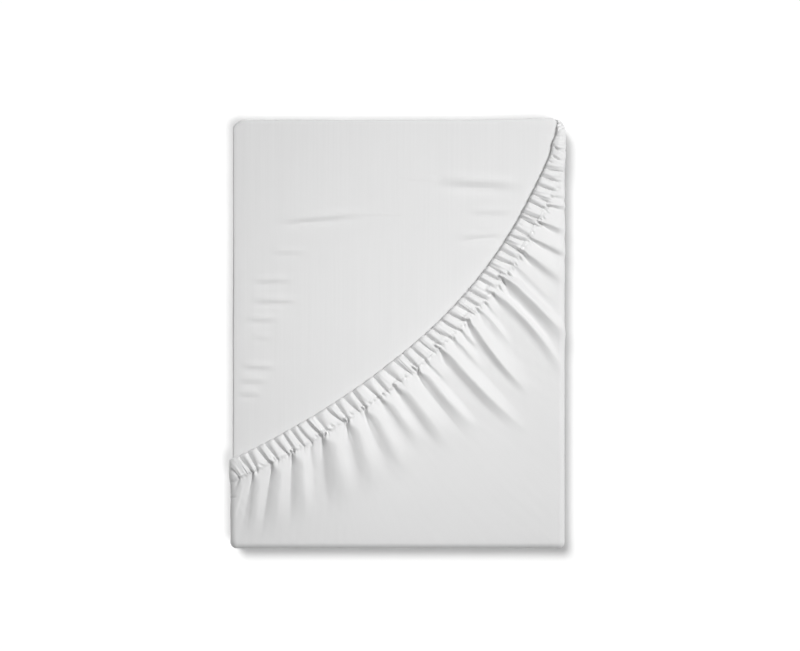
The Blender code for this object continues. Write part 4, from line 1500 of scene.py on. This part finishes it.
class StudioSettings(bpy.types.PropertyGroup):
    """The floor, the lights and the camera."""

    floor: FloatVectorProperty(
        name="Floor", description="Colour of the floor", subtype="COLOR", size=3,
        default=(0.50, 0.50, 0.50), min=0.0, max=1.0)
    sky: FloatProperty(
        name="Room light", description="Strength of the light from all round", default=0.12,
        min=0.0, max=4.0)
    key: FloatProperty(
        name="Side light", description="Power of the light from the right", default=23.6,
        min=0.0, max=400.0, unit="POWER")
    key_turn: FloatProperty(
        name="Side light turn", description="Its direction, in degrees from the right",
        default=35.0, min=-180.0, max=180.0)
    key_rise: FloatProperty(
        name="Side light rise", description="Its height, in degrees over the level",
        default=51.0, min=5.0, max=90.0)
    key_away: FloatProperty(
        name="Side light distance", description="How far away it stands", default=1.8, min=0.5,
        max=6.0, unit="LENGTH")
    key_size: FloatProperty(
        name="Side light size", description="Width of the light", default=0.4, min=0.01,
        max=3.0, unit="LENGTH")
    top: FloatProperty(
        name="Top light", description="Power of the soft light above", default=0.36,
        min=0.0, max=400.0, unit="POWER")
    top_over: FloatVectorProperty(
        name="Top light place", description="The place it hangs over", size=2,
        default=(-0.018, -0.032), unit="LENGTH")
    top_rise: FloatProperty(
        name="Top light height", description="How high it hangs", default=0.345, min=0.1, max=3.0,
        unit="LENGTH")
    top_size: FloatProperty(
        name="Top light size", description="Width of the light", default=0.3, min=0.01,
        max=3.0, unit="LENGTH")
    left: FloatProperty(
        name="Left light", description="Strength of the low light from the left", default=0.25,
        min=0.0, max=10.0)
    floor_light: FloatProperty(
        name="Floor light", description="Strength of the light on the floor", default=2.23,
        min=0.0, max=10.0)
    shadow_light: FloatProperty(
        name="Shadow light", description="Strength of the light that draws the packet's shadow",
        default=4.26, min=0.0, max=10.0)
    lens: FloatProperty(
        name="Lens", description="Focal length in millimetres", default=85.0, min=20.0, max=300.0)
    view_width: FloatProperty(
        name="View width", description="Width that the picture takes in at the front panel",
        default=0.600, min=0.1, max=3.0, unit="LENGTH")
    view_middle: FloatVectorProperty(
        name="View middle", description="Where the camera looks, from the packet's middle", size=2,
        default=(0.001875, 0.00617), unit="LENGTH")


class FittedSheetSettings(bpy.types.PropertyGroup):
    """All the sizes and colours that can be changed."""

    packet: PointerProperty(type=PacketSettings)
    pocket: PointerProperty(type=PocketSettings)
    stitches: PointerProperty(type=StitchSettings)
    cotton: PointerProperty(type=CottonSettings)
    studio: PointerProperty(type=StudioSettings)


# ---------------------------------------------------------------- one operator for each piece
# How strongly the corner's cloth shows its streaks, as a share of the body's.
CORNER_STREAKS = 0.5
# The floor: half its width and how low it lies, in metres, and its roughness.
FLOOR_HALF = 4.0
FLOOR_LOW = -0.0003
FLOOR_ROUGHNESS = 0.9
SENSOR_WIDTH = 36.0
NEAREST_SEEN = 0.01
# The far lights: the setting that gives each its strength, how wide it is in the sky in degrees,
# where it comes from, and what it falls on.
FAR_LIGHTS = table(
    "name setting spread towards falls_on",
    ("left_light", "left", 12.0, (-0.86, 0.42, 0.24), "cloth"),
    ("floor_light", "floor_light", 15.0, (0.25, -0.21, 1.0), "floor"),
    ("shadow_light", "shadow_light", 20.6, (-0.29, 0.37, 1.0), "floor"),
)


class BEDDING_OT_folded_body(bpy.types.Operator):
    """Makes the sheet's body: one cloth, folded six times across and eight times along."""

    bl_idname = "bedding.folded_body"
    bl_label = "Folded Body"

    def execute(self, context):
        sheet = context.scene.fitted_sheet
        points, faces, cloth, size = folded_body(sheet.packet)
        piece = new_piece("folded_body", points, faces, cloth, cotton_sateen(sheet.cotton))
        give_thickness(piece, sheet.packet.ply_thickness, 0.0)
        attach(piece, "root")
        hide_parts(NODE)
        return {"FINISHED"}


class BEDDING_OT_corner_pocket(bpy.types.Operator):
    """Makes the gathered corner that wraps the packet, with its hem, folds and back panel."""

    bl_idname = "bedding.corner_pocket"
    bl_label = "Corner Pocket"

    def execute(self, context):
        sheet = context.scene.fitted_sheet
        points, faces, cloth = corner_pocket(sheet.pocket)
        material = cotton_sateen(sheet.cotton, "cotton_sateen_corner", sheet.cotton.streak * CORNER_STREAKS)
        piece = new_piece("corner_pocket", points, faces, cloth, material)
        give_thickness(piece, sheet.pocket.ply_thickness, -1.0)
        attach(piece, "root")
        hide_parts(NODE)
        return {"FINISHED"}


class BEDDING_OT_hem_stitches(bpy.types.Operator):
    """Sews the casing of the elastic hem with a line of short stitches."""

    bl_idname = "bedding.hem_stitches"
    bl_label = "Hem Stitches"

    def execute(self, context):
        sheet = context.scene.fitted_sheet
        points, faces, cloth = hem_stitches(sheet.pocket, sheet.stitches)
        material = cotton_sateen(sheet.cotton, "sewing_thread", 0.0)
        piece = new_piece("hem_stitches", points, faces, cloth, material)
        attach(piece, "root")
        return {"FINISHED"}


class BEDDING_OT_studio(bpy.types.Operator):
    """Sets the pale floor, the soft lights and the camera straight above the packet."""

    bl_idname = "bedding.studio"
    bl_label = "Studio"

    def execute(self, context):
        scene = context.scene
        studio = scene.fitted_sheet.studio
        mesh = bpy.data.meshes.new("floor")
        half, low = FLOOR_HALF, FLOOR_LOW
        mesh.from_pydata(
            [(-half, -half, low), (half, -half, low), (half, half, low), (-half, half, low)],
            [], [(0, 1, 2, 3)])
        mesh.materials.append(plain_paper("floor_paper", studio.floor, FLOOR_ROUGHNESS))
        floor = bpy.data.objects.new("floor", mesh)
        scene.collection.objects.link(floor)

        world = bpy.data.worlds.new("room light")
        world.use_nodes = True
        white = (1.0, 1.0, 1.0, 1.0)
        fill(world.node_tree.nodes["Background"], {"Color": white, "Strength": studio.sky})
        scene.world = world
        lit = {
            "cloth": self.only_on("lit cloth", ("folded_body", "corner_pocket", "hem_stitches")),
            "floor": self.only_on("lit floor", ("floor",)),
        }
        turn, rise = radians(studio.key_turn), radians(studio.key_rise)
        level = studio.key_away * np.cos(rise)
        place = (level * np.cos(turn), level * np.sin(turn), studio.key_away * np.sin(rise))
        self.area_light(scene, "side_light", studio.key, studio.key_size, place, lit["cloth"])
        place = (*studio.top_over, studio.top_rise)
        self.area_light(scene, "top_light", studio.top, studio.top_size, place, lit["cloth"])
        for far in FAR_LIGHTS:
            strength = getattr(studio, far.setting)
            self.far_light(scene, far.name, strength, far.spread, far.towards, lit[far.falls_on])

        lens = bpy.data.cameras.new("camera")
        lens.lens = studio.lens
        lens.sensor_width = SENSOR_WIDTH
        lens.clip_start = NEAREST_SEEN
        camera = bpy.data.objects.new("camera", lens)
        away = studio.view_width * studio.lens / lens.sensor_width
        spot = (studio.view_middle[0] - MIDDLE[0], studio.view_middle[1] - MIDDLE[1])
        camera.location = (*spot, UNDER_Z + away)
        scene.collection.objects.link(camera)
        scene.camera = camera
        scene.view_settings.view_transform = "Standard"
        scene.view_settings.look = "None"
        return {"FINISHED"}

    def only_on(self, name, pieces):
        """A collection of the pieces that a light falls on."""
        lit = bpy.data.collections.new(name)
        for piece in pieces:
            lit.objects.link(bpy.data.objects[piece])
        return lit

    def area_light(self, scene, name, power, size, place, lit):
        """A round soft light near the packet."""
        light = bpy.data.lights.new(name, "AREA")
        light.energy = power
        light.shape = "DISK"
        light.size = size
        self.hang(scene, light, place, lit)

    def far_light(self, scene, name, strength, spread, towards, lit):
        """A light so far away that it falls evenly, as wide in the sky as its spread in degrees."""
        light = bpy.data.lights.new(name, "SUN")
        light.energy = strength
        light.angle = radians(spread)
        self.hang(scene, light, towards, lit)

    def hang(self, scene, light, place, lit):
        """Hangs a light at a place, turned to the packet, to fall on some of the pieces only."""
        lamp = bpy.data.objects.new(light.name, light)
        lamp.location = place
        lamp.rotation_euler = (-Vector(place)).to_track_quat("-Z", "Y").to_euler()
        lamp.visible_camera = False
        lamp.light_linking.receiver_collection = lit
        scene.collection.objects.link(lamp)


OPERATORS = (
    BEDDING_OT_folded_body,
    BEDDING_OT_corner_pocket,
    BEDDING_OT_hem_stitches,
    BEDDING_OT_studio,
)


class BEDDING_PT_fitted_sheet(bpy.types.Panel):
    """Lists the steps that make the folded sheet, and the sizes and colours behind them."""

    bl_label = "Folded Fitted Sheet"
    bl_space_type = "VIEW_3D"
    bl_region_type = "UI"
    bl_category = "Bedding"

    def draw(self, context):
        sheet = context.scene.fitted_sheet
        for operator in OPERATORS:
            self.layout.operator(operator.bl_idname)
        for name in ("packet", "pocket", "stitches", "cotton", "studio"):
            box = self.layout.box()
            box.label(text=name.title())
            group = getattr(sheet, name)
            for setting in group.bl_rna.properties:
                if setting.identifier not in {"rna_type", "name"}:
                    box.prop(group, setting.identifier)


CLASSES = (
    PacketSettings,
    PocketSettings,
    StitchSettings,
    CottonSettings,
    StudioSettings,
    FittedSheetSettings,
    *OPERATORS,
    BEDDING_PT_fitted_sheet,
)


def register():
    """Adds the settings, the operators and the panel."""
    for cls in CLASSES:
        bpy.utils.register_class(cls)
    bpy.types.Scene.fitted_sheet = PointerProperty(type=FittedSheetSettings)


def unregister():
    """Takes them away again."""
    del bpy.types.Scene.fitted_sheet
    for cls in reversed(CLASSES):
        bpy.utils.unregister_class(cls)


def main():
    """Makes the pieces and the studio."""
    register()
    bpy.ops.bedding.folded_body()
    bpy.ops.bedding.corner_pocket()
    bpy.ops.bedding.hem_stitches()
    bpy.ops.bedding.studio()
    bpy.context.view_layer.update()


if __name__ == "__main__":
    main()
